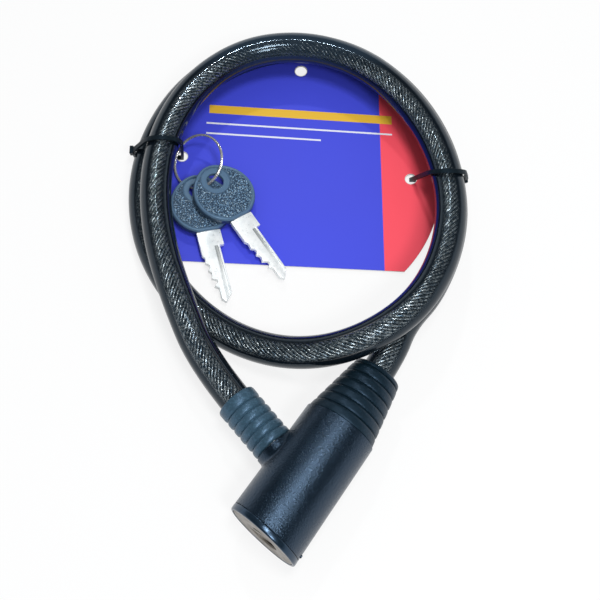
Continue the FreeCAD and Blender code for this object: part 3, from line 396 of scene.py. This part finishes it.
def laid_strands():
    """Round strands laid in a helix on a line, or with no lay radius one tube along it."""
    group, tree, given = new_geometry(
        "laid_strands", Strands=("Int", 8), Lay_Radius=("Float", 0.0), Strand_Radius=("Float", 0.001),
        Turn_Length=("Float", 0.03), From=("Float", 0.0), To=("Float", 1.0), Step=("Float", 0.001),
        Sides=("Int", 12), Finish=("Material", None),
    )
    step = given.out("Step")
    curve = tree.node("GeometryNodeMeshToCurve", {}, {"Mesh": given.out("Geometry")})
    even = tree.node("GeometryNodeResampleCurve", {"mode": "LENGTH"}, {"Curve": curve, "Length": step})
    reach = tree.node("GeometryNodeSplineParameter", output="Length")
    measured = tree.node(
        "GeometryNodeStoreNamedAttribute", {"data_type": "FLOAT", "domain": "POINT"},
        {"Geometry": even, "Name": "along", "Value": reach},
    )
    copies = tree.node(
        "GeometryNodeDuplicateElements", {"domain": "SPLINE"}, {0: measured, "Amount": given.out("Strands")}
    )
    at = tree.node("GeometryNodeInputNamedAttribute", {"data_type": "FLOAT"}, {"Name": "along"})
    share = copies.out("Duplicate Index") / given.out("Strands")
    angle = (at / given.out("Turn Length") + share) * (2 * math.pi)
    side = tree.node("GeometryNodeInputNormal")
    forward = tree.node("GeometryNodeInputTangent")
    up = forward.vector("CROSS_PRODUCT", side)
    across = side.vector("SCALE", angle.cosine() * given.out("Lay Radius"))
    rise = up.vector("SCALE", angle.sine() * given.out("Lay Radius"))
    offset = across.vector("ADD", rise)
    laid = tree.node("GeometryNodeSetPosition", {}, {"Geometry": copies, "Offset": offset})
    outside = (at < given.out("From") - step * 0.5).most(at > given.out("To") + step * 0.5)
    kept = tree.node(
        "GeometryNodeDeleteGeometry", {"domain": "POINT"}, {"Geometry": laid, "Selection": outside}
    )
    ring = tree.node(
        "GeometryNodeCurvePrimitiveCircle", {"mode": "RADIUS"},
        {"Resolution": given.out("Sides"), "Radius": given.out("Strand Radius")},
    )
    spot = tree.node("GeometryNodeInputPosition").vector("NORMALIZE")
    ring = tree.node(
        "GeometryNodeStoreNamedAttribute", {"data_type": "FLOAT_VECTOR", "domain": "POINT"},
        {"Geometry": ring, "Name": "around", "Value": spot},
    )
    tube = tree.node(
        "GeometryNodeCurveToMesh", {}, {"Curve": kept, "Profile Curve": ring, "Fill Caps": True}
    )
    real = tree.node("GeometryNodeRealizeInstances", {}, {0: tube})
    done = tree.node(
        "GeometryNodeSetMaterial", {}, {"Geometry": real, "Material": given.out("Finish")}
    )
    tree.node("NodeGroupOutput", {}, {"Geometry": done})
    return group


# Finishes
COOL_SHEEN = (0.62, 0.82, 1.0, 1.0)
BLUE_SHEEN = (0.42, 0.66, 1.0, 1.0)
FAR_SIDE_FROM, FAR_SIDE_TO = 0.050, 0.064


def smoky_jacket():
    """Dark clear plastic: open where it faces the eye, dense at its edges, and less clear and paler at the
    coil's far side, as painted sheen.
    """
    material, tree, place, surface = finish_of("smoky_jacket")
    facing = tree.node("ShaderNodeLayerWeight", {}, {"Blend": 0.5}, "Facing")
    haze = tree.noise(place, 60.0, 3.0)
    _, y, _ = place.parts()
    # Painted sheen: over a band at the coil's far side the jacket is paler and less clear.
    painted_far_sheen = y.between(FAR_SIDE_FROM, FAR_SIDE_TO) * 0.5
    ripple = tree.noise(place, 160.0, 2.0) + tree.noise(place, 900.0, 2.0) * 0.25
    surface(
        Base_Color=tree.mixed(painted_far_sheen, (0.004, 0.007, 0.011, 1), (0.030, 0.052, 0.080, 1)),
        Roughness=haze.between(0.35, 0.7, 0.06, 0.13) + facing.between(0.72, 0.95) * 0.3,
        Specular_IOR_Level=0.45,
        Specular_Tint=COOL_SHEEN,
        Alpha=facing.between(0.10, 0.30, 0.13, 0.975) + haze * 0.06 + painted_far_sheen,
        Normal=tree.bump(ripple, 0.22, 0.0004),
    )
    return material


def steel_strands(name, dark, light):
    """Twisted wires with glints painted pale into their colour along the wires' crowns. Two attributes tell
    where a point lies along and around its strand.
    """
    material, tree, place, surface = finish_of(name)
    at = tree.marked("along")
    x, y, _ = tree.marked("around", "Vector").parts()
    wires = (x.math("ARCTAN2", y, x) * 5.0 + at * 1500.0).sine()
    glints = tree.noise(place, 1300.0, 2.0, 0.6)
    wear = tree.noise(place, 160.0, 2.0)
    # Painted highlight: pale specks on the wires' crowns where the glint noise is high.
    painted_sparkle = glints.between(0.36, 0.52) * 0.3 + glints.between(0.53, 0.58) * 0.7
    painted_shine = wires.between(-0.6, 0.8, 0.3, 1.0) * painted_sparkle
    surface(
        Base_Color=tree.mixed(painted_shine, dark, light),
        Metallic=wear.between(0.3, 0.7, 0.5, 0.8),
        Roughness=wear.between(0.3, 0.7, 0.20, 0.32),
        Normal=tree.bump(wires * 0.3 + glints * 0.5, 0.3, 0.0003),
    )
    return material


def grained_plastic(name, colour, scale, strength, roughness, gleam):
    """Dark plastic with a fine grain whose tops are smoother and painted paler as sparkle, and with paler
    rubbed patches.
    """
    material, tree, place, surface = finish_of(name)
    grain = tree.noise(place, scale, 3.0, 0.6)
    rubbed = tree.noise(place, 60.0, 2.0)
    # Paler colour: worn patches, and a painted highlight as sparkle on the grain's tops.
    wear_and_sparkle = rubbed.between(0.3, 0.7) * 0.3 + grain.between(0.45, 0.7) * 0.7
    uneven = rubbed.between(0.3, 0.7, roughness - 0.03, roughness + 0.03)
    surface(
        Base_Color=tree.mixed(wear_and_sparkle, colour, scaled(colour, 2.0)),
        Roughness=uneven - grain.between(0.55, 0.7) * 0.08,
        Specular_IOR_Level=gleam,
        Specular_Tint=BLUE_SHEEN,
        Normal=tree.bump(grain, strength, 0.0003),
    )
    return material


def pebbled_plastic():
    """Moulded plastic. The attribute pebbled tells how strong its pebbles are, and flank marks painted shade
    on its sides.
    """
    material, tree, place, surface = finish_of("pebbled_plastic")
    pebbled, flank_shade = tree.marked("pebbled"), tree.marked("flank_shade")
    wander = tree.node(
        "ShaderNodeTexNoise", {}, {"Vector": place, "Scale": 900.0, "Detail": 1.0}, "Color"
    )
    bent = place.vector("ADD", wander.vector("SCALE", 0.0006))
    cells = tree.node("ShaderNodeTexVoronoi", {"feature": "SMOOTH_F1"}, {"Vector": bent, "Scale": 2500.0})
    creases = cells.between(0.22, 0.52)
    # Painted highlight: pale glints on the pebbles.
    glints = tree.noise(place, 1700.0, 2.0).between(0.52, 0.66) * pebbled
    height = (1.0 - creases) * pebbled
    # Painted shade in the creases, along the field's edge and on the flanks; the smooth rim and the ring
    # round the hole are darker.
    field_edge_shade = pebbled * (1.0 - pebbled) * 4.0
    dark = (creases * pebbled).most(field_edge_shade).most((1.0 - pebbled) * 0.70).most(flank_shade)
    plastic_and_glints = tree.mixed(glints, (0.24, 0.42, 0.64, 1), (0.66, 0.86, 1.0, 1))
    surface(
        Base_Color=tree.mixed(dark, plastic_and_glints, (0.024, 0.048, 0.085, 1)),
        Roughness=cells.between(0.1, 0.6, 0.24, 0.36),
        Specular_Tint=COOL_SHEEN,
        Normal=tree.bump(height + tree.noise(place, 500.0, 2.0) * 0.08, 1.0, 0.0004),
    )
    return material


def plated_metal(name, colour, scale, roughness, metallic=1.0):
    """Metal with fine marks and slight stains."""
    material, tree, place, surface = finish_of(name)
    marks = tree.noise(place, scale, 4.0, 0.65)
    stains = tree.noise(place, 130.0, 4.0, 0.6)
    surface(
        Base_Color=tree.mixed(stains.between(0.35, 0.7), colour, scaled(colour, 0.72)),
        Metallic=stains.between(0.3, 0.7, metallic, metallic * 0.92),
        Roughness=marks.between(0.3, 0.7, roughness - 0.06, roughness + 0.08),
        Normal=tree.bump(marks, 0.22, 0.0002),
    )
    return material


def blade_metal():
    """Bright plate, with painted shade in the sunk groove near the bow, where a point attribute marks it."""
    material, tree, place, surface = finish_of("blade_nickel")
    marks = tree.noise(place, 900.0, 4.0, 0.65)
    stains = tree.noise(place, 130.0, 4.0, 0.6)
    plate = tree.mixed(stains.between(0.40, 0.75), (0.97, 1.0, 1.0, 1), (0.80, 0.86, 0.88, 1))
    # Painted shade in the groove.
    groove_shade = tree.marked("groove_shade").between(0.1, 1.0) * 0.75
    surface(
        Base_Color=tree.mixed(groove_shade, plate, (0.14, 0.16, 0.16, 1)),
        Metallic=stains.between(0.3, 0.7, 0.22, 0.30),
        Roughness=marks.between(0.3, 0.7, 0.26, 0.42),
        Normal=tree.bump(marks, 0.25, 0.0002),
    )
    return material


KEYWAY_SHADE_FROM, KEYWAY_SHADE_TO = 0.0016, 0.0030


def worn_face():
    """Worn plate on the lock's face, with painted shade inside the keyway."""
    material, tree, place, surface = finish_of("worn_face")
    marks = tree.noise(place, 420.0, 4.0, 0.6)
    turn = math.radians(HEAD_ANGLE)
    x, y, _ = place.parts()
    depth = (x - FACE.x) * math.cos(turn) + (y - FACE.y) * math.sin(turn)
    plate = tree.mixed(marks, (0.31, 0.28, 0.245, 1), (0.20, 0.185, 0.165, 1))
    # Painted shade: near black past a depth behind the face, inside the keyway.
    keyway_shade = depth.between(KEYWAY_SHADE_FROM, KEYWAY_SHADE_TO)
    surface(
        Base_Color=tree.mixed(keyway_shade, plate, (0.012, 0.012, 0.012, 1)),
        Metallic=marks.between(0.3, 0.7, 0.35, 0.5),
        Roughness=marks.between(0.3, 0.7, 0.38, 0.52),
        Normal=tree.bump(tree.noise(place, 1500.0, 2.0), 0.12, 0.0002),
    )
    return material


# The card's print: a red side, and three rules with their heights at x = 0, widths, left and right ends and
# inks. The punched holes have their middles and radii.
CARD_TOP, INK_DEPTH, HOLE_EDGE = 0.0017, 0.00005, 0.00025
RED_FROM = 0.0335
RULE_SLOPE = -0.075
YELLOW_INK, WHITE_INK = (0.83, 0.50, 0.045, 1), (0.80, 0.82, 0.90, 1)
RULES = (
    (0.0475, 0.0040, -0.0375, 0.0385, YELLOW_INK),
    (0.0406, 0.0008, -0.0385, 0.0385, WHITE_INK),
    (0.0357, 0.0008, -0.0385, 0.0090, WHITE_INK),
)
PUNCHED = ((0.0008, 0.0692, 0.0025), (-0.0479, 0.0273, 0.0022), (0.0454, 0.0167, 0.0022))


def printed_card():
    """Blue and red print with three plain rules on top, and bare board below it and in the holes."""
    material, tree, place, surface = finish_of("printed_card")
    x, y, z = place.parts()
    tone = tree.noise(place, 14.0, 3.0)
    blue_ink = tree.mixed(tone, (0.055, 0.070, 0.66, 1), (0.066, 0.088, 0.80, 1))
    red_ink = tree.mixed(tone, (0.97, 0.080, 0.115, 1), (1.0, 0.100, 0.145, 1))
    print_ink = tree.mixed(x > RED_FROM, blue_ink, red_ink)
    line = y - x * RULE_SLOPE
    for middle, width, start, end, rule_ink in RULES:
        on_rule = ((line - middle).size() < width / 2) * (x > start) * (x < end)
        print_ink = tree.mixed(on_rule, print_ink, rule_ink)
    fibres = tree.noise(place, 900.0, 4.0, 0.7)
    board = tree.mixed(fibres, (0.66, 0.65, 0.62, 1), (0.78, 0.77, 0.75, 1))
    bare = z < CARD_TOP - INK_DEPTH
    for hole_x, hole_y, radius in PUNCHED:
        aside, above = x - hole_x, y - hole_y
        bare = bare.most((aside * aside + above * above) < (radius + HOLE_EDGE) ** 2)
    surface(
        Base_Color=tree.mixed(bare, print_ink, board),
        Roughness=tone.between(0.3, 0.7, 0.48, 0.58),
        Specular_IOR_Level=0.22,
        Normal=tree.bump(fibres * 0.3 + tree.noise(place, 45.0, 2.0) * 4.0, 0.22, 0.0002),
    )
    return material


jacket_finish = smoky_jacket()
strand_finish = steel_strands("steel_strands", (0.05, 0.09, 0.13, 1), (0.88, 0.98, 1.0, 1))
# The heart is a near-black copy of the strands' finish: painted shade in the gaps between them.
heart_painted_shade = steel_strands("shaded_strands", (0.004, 0.007, 0.011, 1), (0.02, 0.03, 0.04, 1))
housing_finish = grained_plastic("grained_housing", (0.0016, 0.0042, 0.0075, 1), 1500.0, 0.5, 0.28, 0.9)
cap_finish = grained_plastic("smooth_cap", (0.004, 0.009, 0.015, 1), 500.0, 0.10, 0.25, 1.0)
boot_finish = grained_plastic("boot_rubber", (0.003, 0.009, 0.014, 1), 1300.0, 0.35, 0.40, 0.5)
plug_boot_finish = grained_plastic("plug_boot_rubber", (0.026, 0.056, 0.082, 1), 1300.0, 0.35, 0.36, 0.9)
tie_finish = grained_plastic("tie_nylon", (0.003, 0.006, 0.008, 1), 600.0, 0.15, 0.52, 0.25)
bow_finish = pebbled_plastic()
nickel_finish = blade_metal()
wire_finish = plated_metal("ring_wire", (0.90, 0.90, 0.88, 1), 500.0, 0.22, 0.8)
steel_finish = plated_metal("turned_steel", (0.55, 0.56, 0.58, 1), 700.0, 0.32)
brass_finish = plated_metal("stamped_brass", (0.72, 0.55, 0.26, 1), 700.0, 0.34)
zinc_finish = plated_metal("cast_zinc", (0.42, 0.42, 0.43, 1), 500.0, 0.48)
face_finish = worn_face()
card_finish = printed_card()

# Cable pieces. The rope is a layer of strands round a heart of painted shade, and the two cord lengths are
# the CAD part's.
STRANDS, STRAND_RADIUS, LAY_RADIUS, LAY_LENGTH, HEART_RADIUS = 13, 0.00054, 0.0031, 0.026, 0.0026
strands_tree = laid_strands()
for name, span in (
    ("loop", {"From": 0.0, "To": loop_length}),
    ("end", {"From": loop_length, "To": cable_length}),
):
    jacket = made_by(
        strands_tree, f"cable_{name}_tube", polyline(cable_points), Strands=1, Lay_Radius=0.0,
        Strand_Radius=CABLE_RADIUS, Step=0.0015, Sides=40, Finish=jacket_finish, **span,
    )
    rope = made_by(
        strands_tree, f"cable_{name}_strands", polyline(cable_points), Strands=STRANDS,
        Lay_Radius=LAY_RADIUS, Strand_Radius=STRAND_RADIUS, Turn_Length=LAY_LENGTH,
        Step=0.0011, Sides=8, Finish=strand_finish, **span,
    )
    heart = made_by(
        strands_tree, f"cable_{name}_heart", polyline(cable_points), Strands=1, Lay_Radius=0.0,
        Strand_Radius=HEART_RADIUS, Step=0.0022, Sides=16, Finish=heart_painted_shade, **span,
    )
    for piece, cad_node in ((jacket, f"cable_{name}_jacket"), (rope, f"cable_{name}_core"), (heart, None)):
        if name == "loop":
            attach(piece, "coil")
        else:
            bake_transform(piece)
        if cad_node:
            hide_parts(cad_node)

# Boots, in mm from the face along the head's axis, or from the crossing along the plug's
BOOT_START, BOOT_LENGTH, BOOT_BASE, BOOT_TIP = 46.7, 24.8, 13.6, 9.2
BOOT_END, BOOT_INSIDE = BOOT_START + BOOT_LENGTH, BOOT_START - 2.0
BOOT_BANDS, BOOT_PITCH = 6, BOOT_LENGTH / 6.5
BOOT_SPIGOT, BOOT_BORE, CABLE_ROOM, BOOT_ROOM_FROM = 10.45, 4.95, 6.05, 57.0
PLUG_START, PLUG_END, PLUG_RADIUS = 15.7, 37.5, 7.7
PLUG_BANDS, PLUG_PITCH = 5, 3.44
PLUG_SEAT, PLUG_SEAT_TO, PLUG_BORE, PLUG_ROOM_FROM = 6.45, 16.8, 5.45, 30.5

taper = (BOOT_TIP - BOOT_BASE) / BOOT_LENGTH
tail_bands_end = BOOT_START + BOOT_PITCH * BOOT_BANDS
tail_profile = [(BOOT_INSIDE, BOOT_BORE), (BOOT_INSIDE, BOOT_SPIGOT), (BOOT_START, BOOT_SPIGOT)]
tail_profile += bands(BOOT_START, BOOT_PITCH, BOOT_BANDS, BOOT_BASE, taper, sink=0.7, power=6.0)
tail_profile += [
    (tail_bands_end + 0.1, 9.0), (tail_bands_end + 0.4, 9.35), (BOOT_END - 0.8, BOOT_TIP),
    (BOOT_END - 0.3, 9.0), (BOOT_END, 8.5), (BOOT_END, 6.3), (BOOT_END - 0.4, CABLE_ROOM),
    (BOOT_ROOM_FROM, CABLE_ROOM), (BOOT_ROOM_FROM, BOOT_BORE),
]
tail_boot = turned("tail_boot_ribbed", FACE, HEAD_ANGLE, tail_profile, boot_finish)
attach(tail_boot, "lock_head")
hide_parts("tail_boot")

plug_bands_end = PLUG_START + PLUG_PITCH * PLUG_BANDS
plug_profile = [(PLUG_START, PLUG_SEAT), (PLUG_START, 6.9)]
plug_profile += bands(PLUG_START, PLUG_PITCH, PLUG_BANDS, PLUG_RADIUS, 0.0, sink=0.8, power=3.6)
plug_profile += [
    (plug_bands_end + 0.1, 7.1), (plug_bands_end + 0.5, 7.5), (plug_bands_end + 1.2, PLUG_RADIUS),
    (PLUG_END - 0.8, PLUG_RADIUS), (PLUG_END - 0.25, 7.5), (PLUG_END, 7.1), (PLUG_END, 6.3),
    (PLUG_END - 0.4, CABLE_ROOM), (PLUG_ROOM_FROM, CABLE_ROOM), (PLUG_ROOM_FROM, PLUG_BORE),
    (PLUG_SEAT_TO, PLUG_BORE), (PLUG_SEAT_TO, PLUG_SEAT),
]
plug_boot = turned("plug_boot_ribbed", CROSSING, BRANCH_ANGLE, plug_profile, plug_boot_finish)
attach(plug_boot, "coil")
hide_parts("plug_boot")

# Cap and face, in mm from the face along the head's axis. Both are slanted.
FACE_SLANT, FACE_SHIFT = 6.6, -0.4
CAP_REAR, CAP_RADIUS, CAP_INSIDE, CAP_SEAT, CAP_SEAT_TO = 2.6, 14.45, 10.5, 13.35, 1.0
cap_profile = [
    (CAP_SEAT_TO, CAP_INSIDE), (CAP_REAR, CAP_INSIDE), (CAP_REAR, 14.0), (CAP_REAR - 0.1, 14.2),
    (CAP_REAR - 0.3, 14.4), (CAP_REAR - 0.6, CAP_RADIUS), (0.6, CAP_RADIUS), (0.3, 14.38), (0.08, 14.2),
    (0.0, 13.95), (0.0, 13.55), (0.1, 13.4), (0.3, CAP_SEAT), (CAP_SEAT_TO, CAP_SEAT),
]
slanted_face = along(FACE, HEAD_ANGLE, FACE_SHIFT * MM)
end_cap = turned("end_cap_rounded", slanted_face, HEAD_ANGLE, cap_profile, cap_finish, FACE_SLANT)
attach(end_cap, "lock_head")
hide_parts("end_cap")

PLATE_RADIUS, PLATE_OPENING, PLATE_FRONT, GROOVE_FLOOR = 13.3, 6.28, 0.15, 0.21
face_profile = [
    (CAP_SEAT_TO, PLATE_OPENING), (CAP_SEAT_TO, PLATE_RADIUS), (0.4, PLATE_RADIUS), (0.2, 13.2),
    (PLATE_FRONT, 13.0), (PLATE_FRONT, 10.1), (GROOVE_FLOOR, 9.95), (GROOVE_FLOOR, 9.65), (PLATE_FRONT, 9.5),
    (PLATE_FRONT, 6.5), (0.3, PLATE_OPENING),
]
face_plate = turned("face_plate_turned", slanted_face, HEAD_ANGLE, face_profile, face_finish, FACE_SLANT)
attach(face_plate, "lock_head")
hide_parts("face_plate")

# Keys. Each has its place in metres and its turns about Z, Y and X in degrees.
KEYS = {
    "key_1": ((-0.0299, 0.00593, 0.00878), (-55.16, 6.38, -11.02)),
    "key_2": ((-0.03892, 0.00254, 0.00582), (-74.89, 1.96, -8.73)),
}

# The bows, in mm in a key's own frame, where the blade points along X. A reach of FLAT_REACH or more ends on
# the flat side that meets the blade.
BOW_RADIUS, BOW_CENTRE, BOW_FLAT, BOW_HALF, BOW_TOP_MORE = 12.4, 0.3, 12.1, 1.9, 1.1
HOLE_AT, HOLE_RADIUS, DIP_RADIUS, DIP_HALF = -6.2, 3.4, 5.9, 1.0
RIM_HEIGHT, RIM_MIDDLE, RIM_FLAT, RIM_WIDTH = 0.35, 0.8, 0.25, 0.75
DIP_SLOPE = (DIP_RADIUS - 0.35, DIP_RADIUS + 0.1)
EDGE_ROUND_WIDTH, EDGE_ROUND_DEPTH, LIP_ROUND_WIDTH, LIP_ROUND_DEPTH = 0.7, 0.75, 0.4, 0.3
PEBBLES_PAST_DIP, PEBBLES_PAST_EDGE = (DIP_RADIUS, DIP_RADIUS + 0.3), (1.35, 1.65)
# How far in from the bow's edge the flank's painted shade fades out, in mm.
FLANK_SHADE_FADE = (0.02, 0.22)
BOW_SIDES, FIELD_STEPS, FLAT_REACH, EDGE_ROOM = 144, 13, 17.5, 1.9
HOLE_RINGS = (3.4, 3.43, 3.5, 3.62, 3.8, 4.4, 5.0, 5.5, 5.6, 5.7, 5.8, 5.9, 6.0, 6.1, 6.3)
EDGE_RINGS = (1.75, 1.6, 1.45, 1.3, 1.15, 1.0, 0.8, 0.6, 0.45, 0.32, 0.2, 0.1, 0.04, 0.0)

# The blades, in metres in the same frame: how far their edges are eased, and the bounds of the milled part,
# which gets painted shade
BLADE_EASE = 0.00016
MILLED_FROM, MILLED_TO, MILLED_SIDE, MILLED_HALF = 0.0185, 0.03, 0.0002, 0.00062


def outline_reach(angle):
    """How far the bow's outline is from the middle of its hole, in mm."""
    offset = HOLE_AT - BOW_CENTRE
    ahead, aside = math.cos(angle), math.sin(angle)
    round_reach = -offset * ahead + math.sqrt(BOW_RADIUS ** 2 - (offset * aside) ** 2)
    flat_reach = (BOW_FLAT - HOLE_AT) / ahead if ahead > 0.2 else round_reach
    return min(round_reach, flat_reach) + BOW_TOP_MORE * max(0.0, -ahead) ** 2


def smooth_step(value, low, high):
    share = min(max((value - low) / (high - low), 0.0), 1.0)
    return share * share * (3 - 2 * share)


def rounding(distance, width, depth):
    """How far an edge that is rounded over a width has dropped at a distance from it."""
    share = max(0.0, (width - distance) / width)
    return depth * (1.0 - math.sqrt(max(0.0, 1.0 - share ** 2)))


def bow_height(from_hole, from_edge):
    """Half the bow's thickness at a place: a rounded rim, a field and a lower ring round the hole."""
    field = BOW_HALF - RIM_HEIGHT
    rim = RIM_HEIGHT * (1.0 - smooth_step(abs(from_edge - RIM_MIDDLE), RIM_FLAT, RIM_WIDTH))
    height = DIP_HALF + (field + rim - DIP_HALF) * smooth_step(from_hole, *DIP_SLOPE)
    height -= rounding(from_edge, EDGE_ROUND_WIDTH, EDGE_ROUND_DEPTH)
    return height - rounding(from_hole - HOLE_RADIUS, LIP_ROUND_WIDTH, LIP_ROUND_DEPTH)


def key_seat(base, turns):
    """The matrix that puts a key's own frame in its place."""
    yaw, pitch, roll = (math.radians(turn) for turn in turns)
    return Matrix.Translation(base) @ (
        Matrix.Rotation(yaw, 4, "Z") @ Matrix.Rotation(pitch, 4, "Y") @ Matrix.Rotation(roll, 4, "X")
    )


def bow_column(angle):
    """Points from the hole to the outline, each with its height and its shares of pebbles and of painted
    shade on the flank.
    """
    reach = outline_reach(angle)
    squeeze = min(1.0, (reach - EDGE_ROOM - HOLE_RADIUS) / (HOLE_RINGS[-1] - HOLE_RADIUS))
    spots = [HOLE_RADIUS + (value - HOLE_RADIUS) * squeeze for value in HOLE_RINGS]
    start, end = spots[-1], reach - EDGE_RINGS[0]
    spots += [start + (end - start) * step / FIELD_STEPS for step in range(1, FIELD_STEPS)]
    spots += [reach - value for value in EDGE_RINGS]
    column = []
    for distance in spots:
        edge = (reach - distance) * (1.0 if reach < FLAT_REACH else math.cos(angle))
        height = bow_height(distance, edge)
        pebbled = smooth_step(distance, *PEBBLES_PAST_DIP) * smooth_step(edge, *PEBBLES_PAST_EDGE)
        flank_shade = 1.0 - smooth_step(edge, *FLANK_SHADE_FADE)
        x, y = HOLE_AT + distance * math.cos(angle), distance * math.sin(angle)
        column.append((x, y, height, pebbled, flank_shade))
    return column


def key_bow(name, base, turns, finish):
    """A bow in rings round its hole, over its top and back under it, with its pebbles and its flank's painted
    shade marked.
    """
    seat = key_seat(base, turns)
    top = [bow_column(2 * math.pi * i / BOW_SIDES) for i in range(BOW_SIDES)]
    rings, marks = [], []
    for side, order in ((1, range(len(top[0]))), (-1, range(len(top[0]) - 1, -1, -1))):
        for step in order:
            points = [column[step] for column in top]
            rings.append([seat @ (Vector((x, y, z * side)) * MM) for x, y, z, *_ in points])
            marks.append([point[3:] for point in points])
    made = skinned(name, rings, finish)
    lookup = {}
    for ring, row in zip(rings, marks):
        for spot, mark in zip(ring, row):
            lookup[tuple(round(value, 6) for value in spot)] = mark
    for index, word in enumerate(("pebbled", "flank_shade")):
        attribute = made.data.attributes.new(word, "FLOAT", "POINT")
        for vertex, item in zip(made.data.vertices, attribute.data):
            item.value = lookup.get(tuple(round(value, 6) for value in vertex.co), (0.0, 0.0))[index]
    return made


def key_blade(name, node, base, turns, finish):
    """The blade with its edges eased. The sunk part of its cut side, near the bow, is marked for painted
    shade.
    """
    made = softened(name, node, BLADE_EASE, finish)
    back = key_seat(base, turns).inverted()
    attribute = made.data.attributes.new("groove_shade", "FLOAT", "POINT")
    for vertex, item in zip(made.data.vertices, attribute.data):
        spot = back @ vertex.co
        sunk = abs(spot.z) < MILLED_HALF and spot.y > MILLED_SIDE
        item.value = float(sunk and MILLED_FROM < spot.x < MILLED_TO)
    return made


for key, (base, turns) in KEYS.items():
    blade = key_blade(key + "_blade_eased", key + "_blade", base, turns, nickel_finish)
    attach(blade, key)
    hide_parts(key + "_blade")
    bow = key_bow(key + "_bow_moulded", base, turns, bow_finish)
    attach(bow, key)
    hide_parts(key + "_bow")

# Key ring: two turns of flattened wire that change sides halfway between their ends. Its middle is in metres,
# its other lengths are in mm, and SPLIT_AT, SPLIT_HALF and CHANGE_HALF are angles in radians.
RING_MIDDLE = Vector((-0.04056, 0.02083, 0.00863))
RING_RADIUS, WIRE_HALF_WIDTH, WIRE_HALF_HEIGHT, TURNS_APART = 10.92, 0.44, 0.24, 0.26
RING_TILT, RING_HEADING = math.radians(28.87), math.radians(27.57)
SPLIT_AT, SPLIT_HALF, CHANGE_HALF = 2.4, 0.16, 0.35
WIRE_STEPS, WIRE_SIDES = 220, 16
ring_axis = Vector((math.sin(RING_HEADING), -math.cos(RING_HEADING), 0.0))
lean = Matrix.Rotation(RING_TILT, 3, ring_axis)
wire = []
for i in range(WIRE_STEPS + 1):
    angle = SPLIT_HALF + (4 * math.pi - 2 * SPLIT_HALF) * i / WIRE_STEPS
    changed = smooth_step(angle, 2 * math.pi - CHANGE_HALF, 2 * math.pi + CHANGE_HALF)
    side = TURNS_APART - 2 * TURNS_APART * changed
    out = Vector((math.cos(angle + SPLIT_AT), math.sin(angle + SPLIT_AT), 0.0))
    section = []
    for k in range(WIRE_SIDES):
        bead = 2 * math.pi * k / WIRE_SIDES
        up = Vector((0.0, 0.0, side + WIRE_HALF_HEIGHT * math.sin(bead)))
        spot = out * (RING_RADIUS + WIRE_HALF_WIDTH * math.cos(bead)) + up
        section.append(RING_MIDDLE + lean @ spot * MM)
    wire.append(section)
ring_wire = skinned("key_ring_split", wire, wire_finish, closed=False)
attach(ring_wire, "ring")
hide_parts("key_ring")

# Ties
TIE_EASE = 0.0004
for node in ("tie_left", "tie_right"):
    tie = softened(node + "_moulded", node, TIE_EASE, tie_finish)
    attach(tie, "coil")
    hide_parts(node)

# Finishes of the nodes whose shape is shown as it is
FINISHES = {
    "housing_shell": housing_finish, "lock_case": zinc_finish, "cylinder_plug": face_finish,
    "wafers": brass_finish, "wafer_springs": steel_finish, "cam_tail": steel_finish,
    "retaining_pin": steel_finish, "fixed_ferrule": steel_finish, "ferrule_roll_pin": steel_finish,
    "plug_pin": steel_finish, "plug_ferrule": steel_finish, "display_card": card_finish,
}
for node, finish in FINISHES.items():
    for material_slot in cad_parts[node].material_slots:
        material_slot.material = finish

# Floor: a plain one for light and shadow, mixed with a glow that only the eye sees
FLOOR_REACH, FLOOR_GLOW = 3.0, 0.80
floor_material, floor_tree, _, _ = finish_of("pale_floor")
plain = floor_tree.node("ShaderNodeBsdfDiffuse", {}, {"Color": grey(0.90)})
bright = floor_tree.node("ShaderNodeEmission", {}, {"Color": grey(1.0), "Strength": 1.0})
floor_mix = floor_tree.node(
    "ShaderNodeMixShader", {}, {0: floor_tree.seen_by_eye() * FLOOR_GLOW, 1: plain, 2: bright}
)
floor_output = floor_tree.group.nodes["Material Output"]
floor_tree.group.links.new(floor_mix.socket, floor_output.inputs["Surface"])
floor_signs = ((-1, -1), (1, -1), (1, 1), (-1, 1))
floor_corners = [(x * FLOOR_REACH, y * FLOOR_REACH, 0.0) for x, y in floor_signs]
floor_mesh = bpy.data.meshes.new("floor")
floor_mesh.from_pydata(floor_corners, [], [(0, 1, 2, 3)])
floor = mesh_object("floor", floor_mesh, floor_material)

# World: white at the horizon and darker overhead for the eye, and an even, dimmer light on everything
SKY_DARKENS_FROM, SKY_DARKENS_TO, SKY_OVERHEAD, SKY_LIGHT = 0.12, 0.42, 0.08, 0.42
world = bpy.data.worlds.new("studio")
bpy.context.scene.world = world
world.use_nodes = True
world_tree = Tree(world.node_tree)
shown = world_tree.seen_by_eye()
_, _, height = world_tree.node("ShaderNodeTexCoord", output="Generated").parts()
backdrop = height.between(SKY_DARKENS_FROM, SKY_DARKENS_TO, 1.0, SKY_OVERHEAD)
level = shown * backdrop + (1.0 - shown) * SKY_LIGHT
background = world.node_tree.nodes["Background"]
background.inputs["Color"].default_value = (0.94, 0.97, 1.0, 1.0)
world_tree.group.links.new(level.socket, background.inputs["Strength"])


def lamp(name, place, aim, side, power):
    """A square lamp that looks at a place."""
    data = bpy.data.lights.new(name, "AREA")
    data.shape, data.size, data.energy = "SQUARE", side, power
    made = bpy.data.objects.new(name, data)
    made.location = place
    made.rotation_euler = (Vector(aim) - Vector(place)).to_track_quat("-Z", "Y").to_euler()
    bpy.context.scene.collection.objects.link(made)


lamp("overhead", (0.08, -0.09, 0.68), (0.0, -0.02, 0.0), 0.14, 1.75)
lamp("side", (0.16, -0.36, 0.58), (0.0, -0.05, 0.0), 0.13, 1.4)
lamp("far", (-0.04, 0.38, 0.60), (0.0, 0.0, 0.0), 0.035, 0.65)
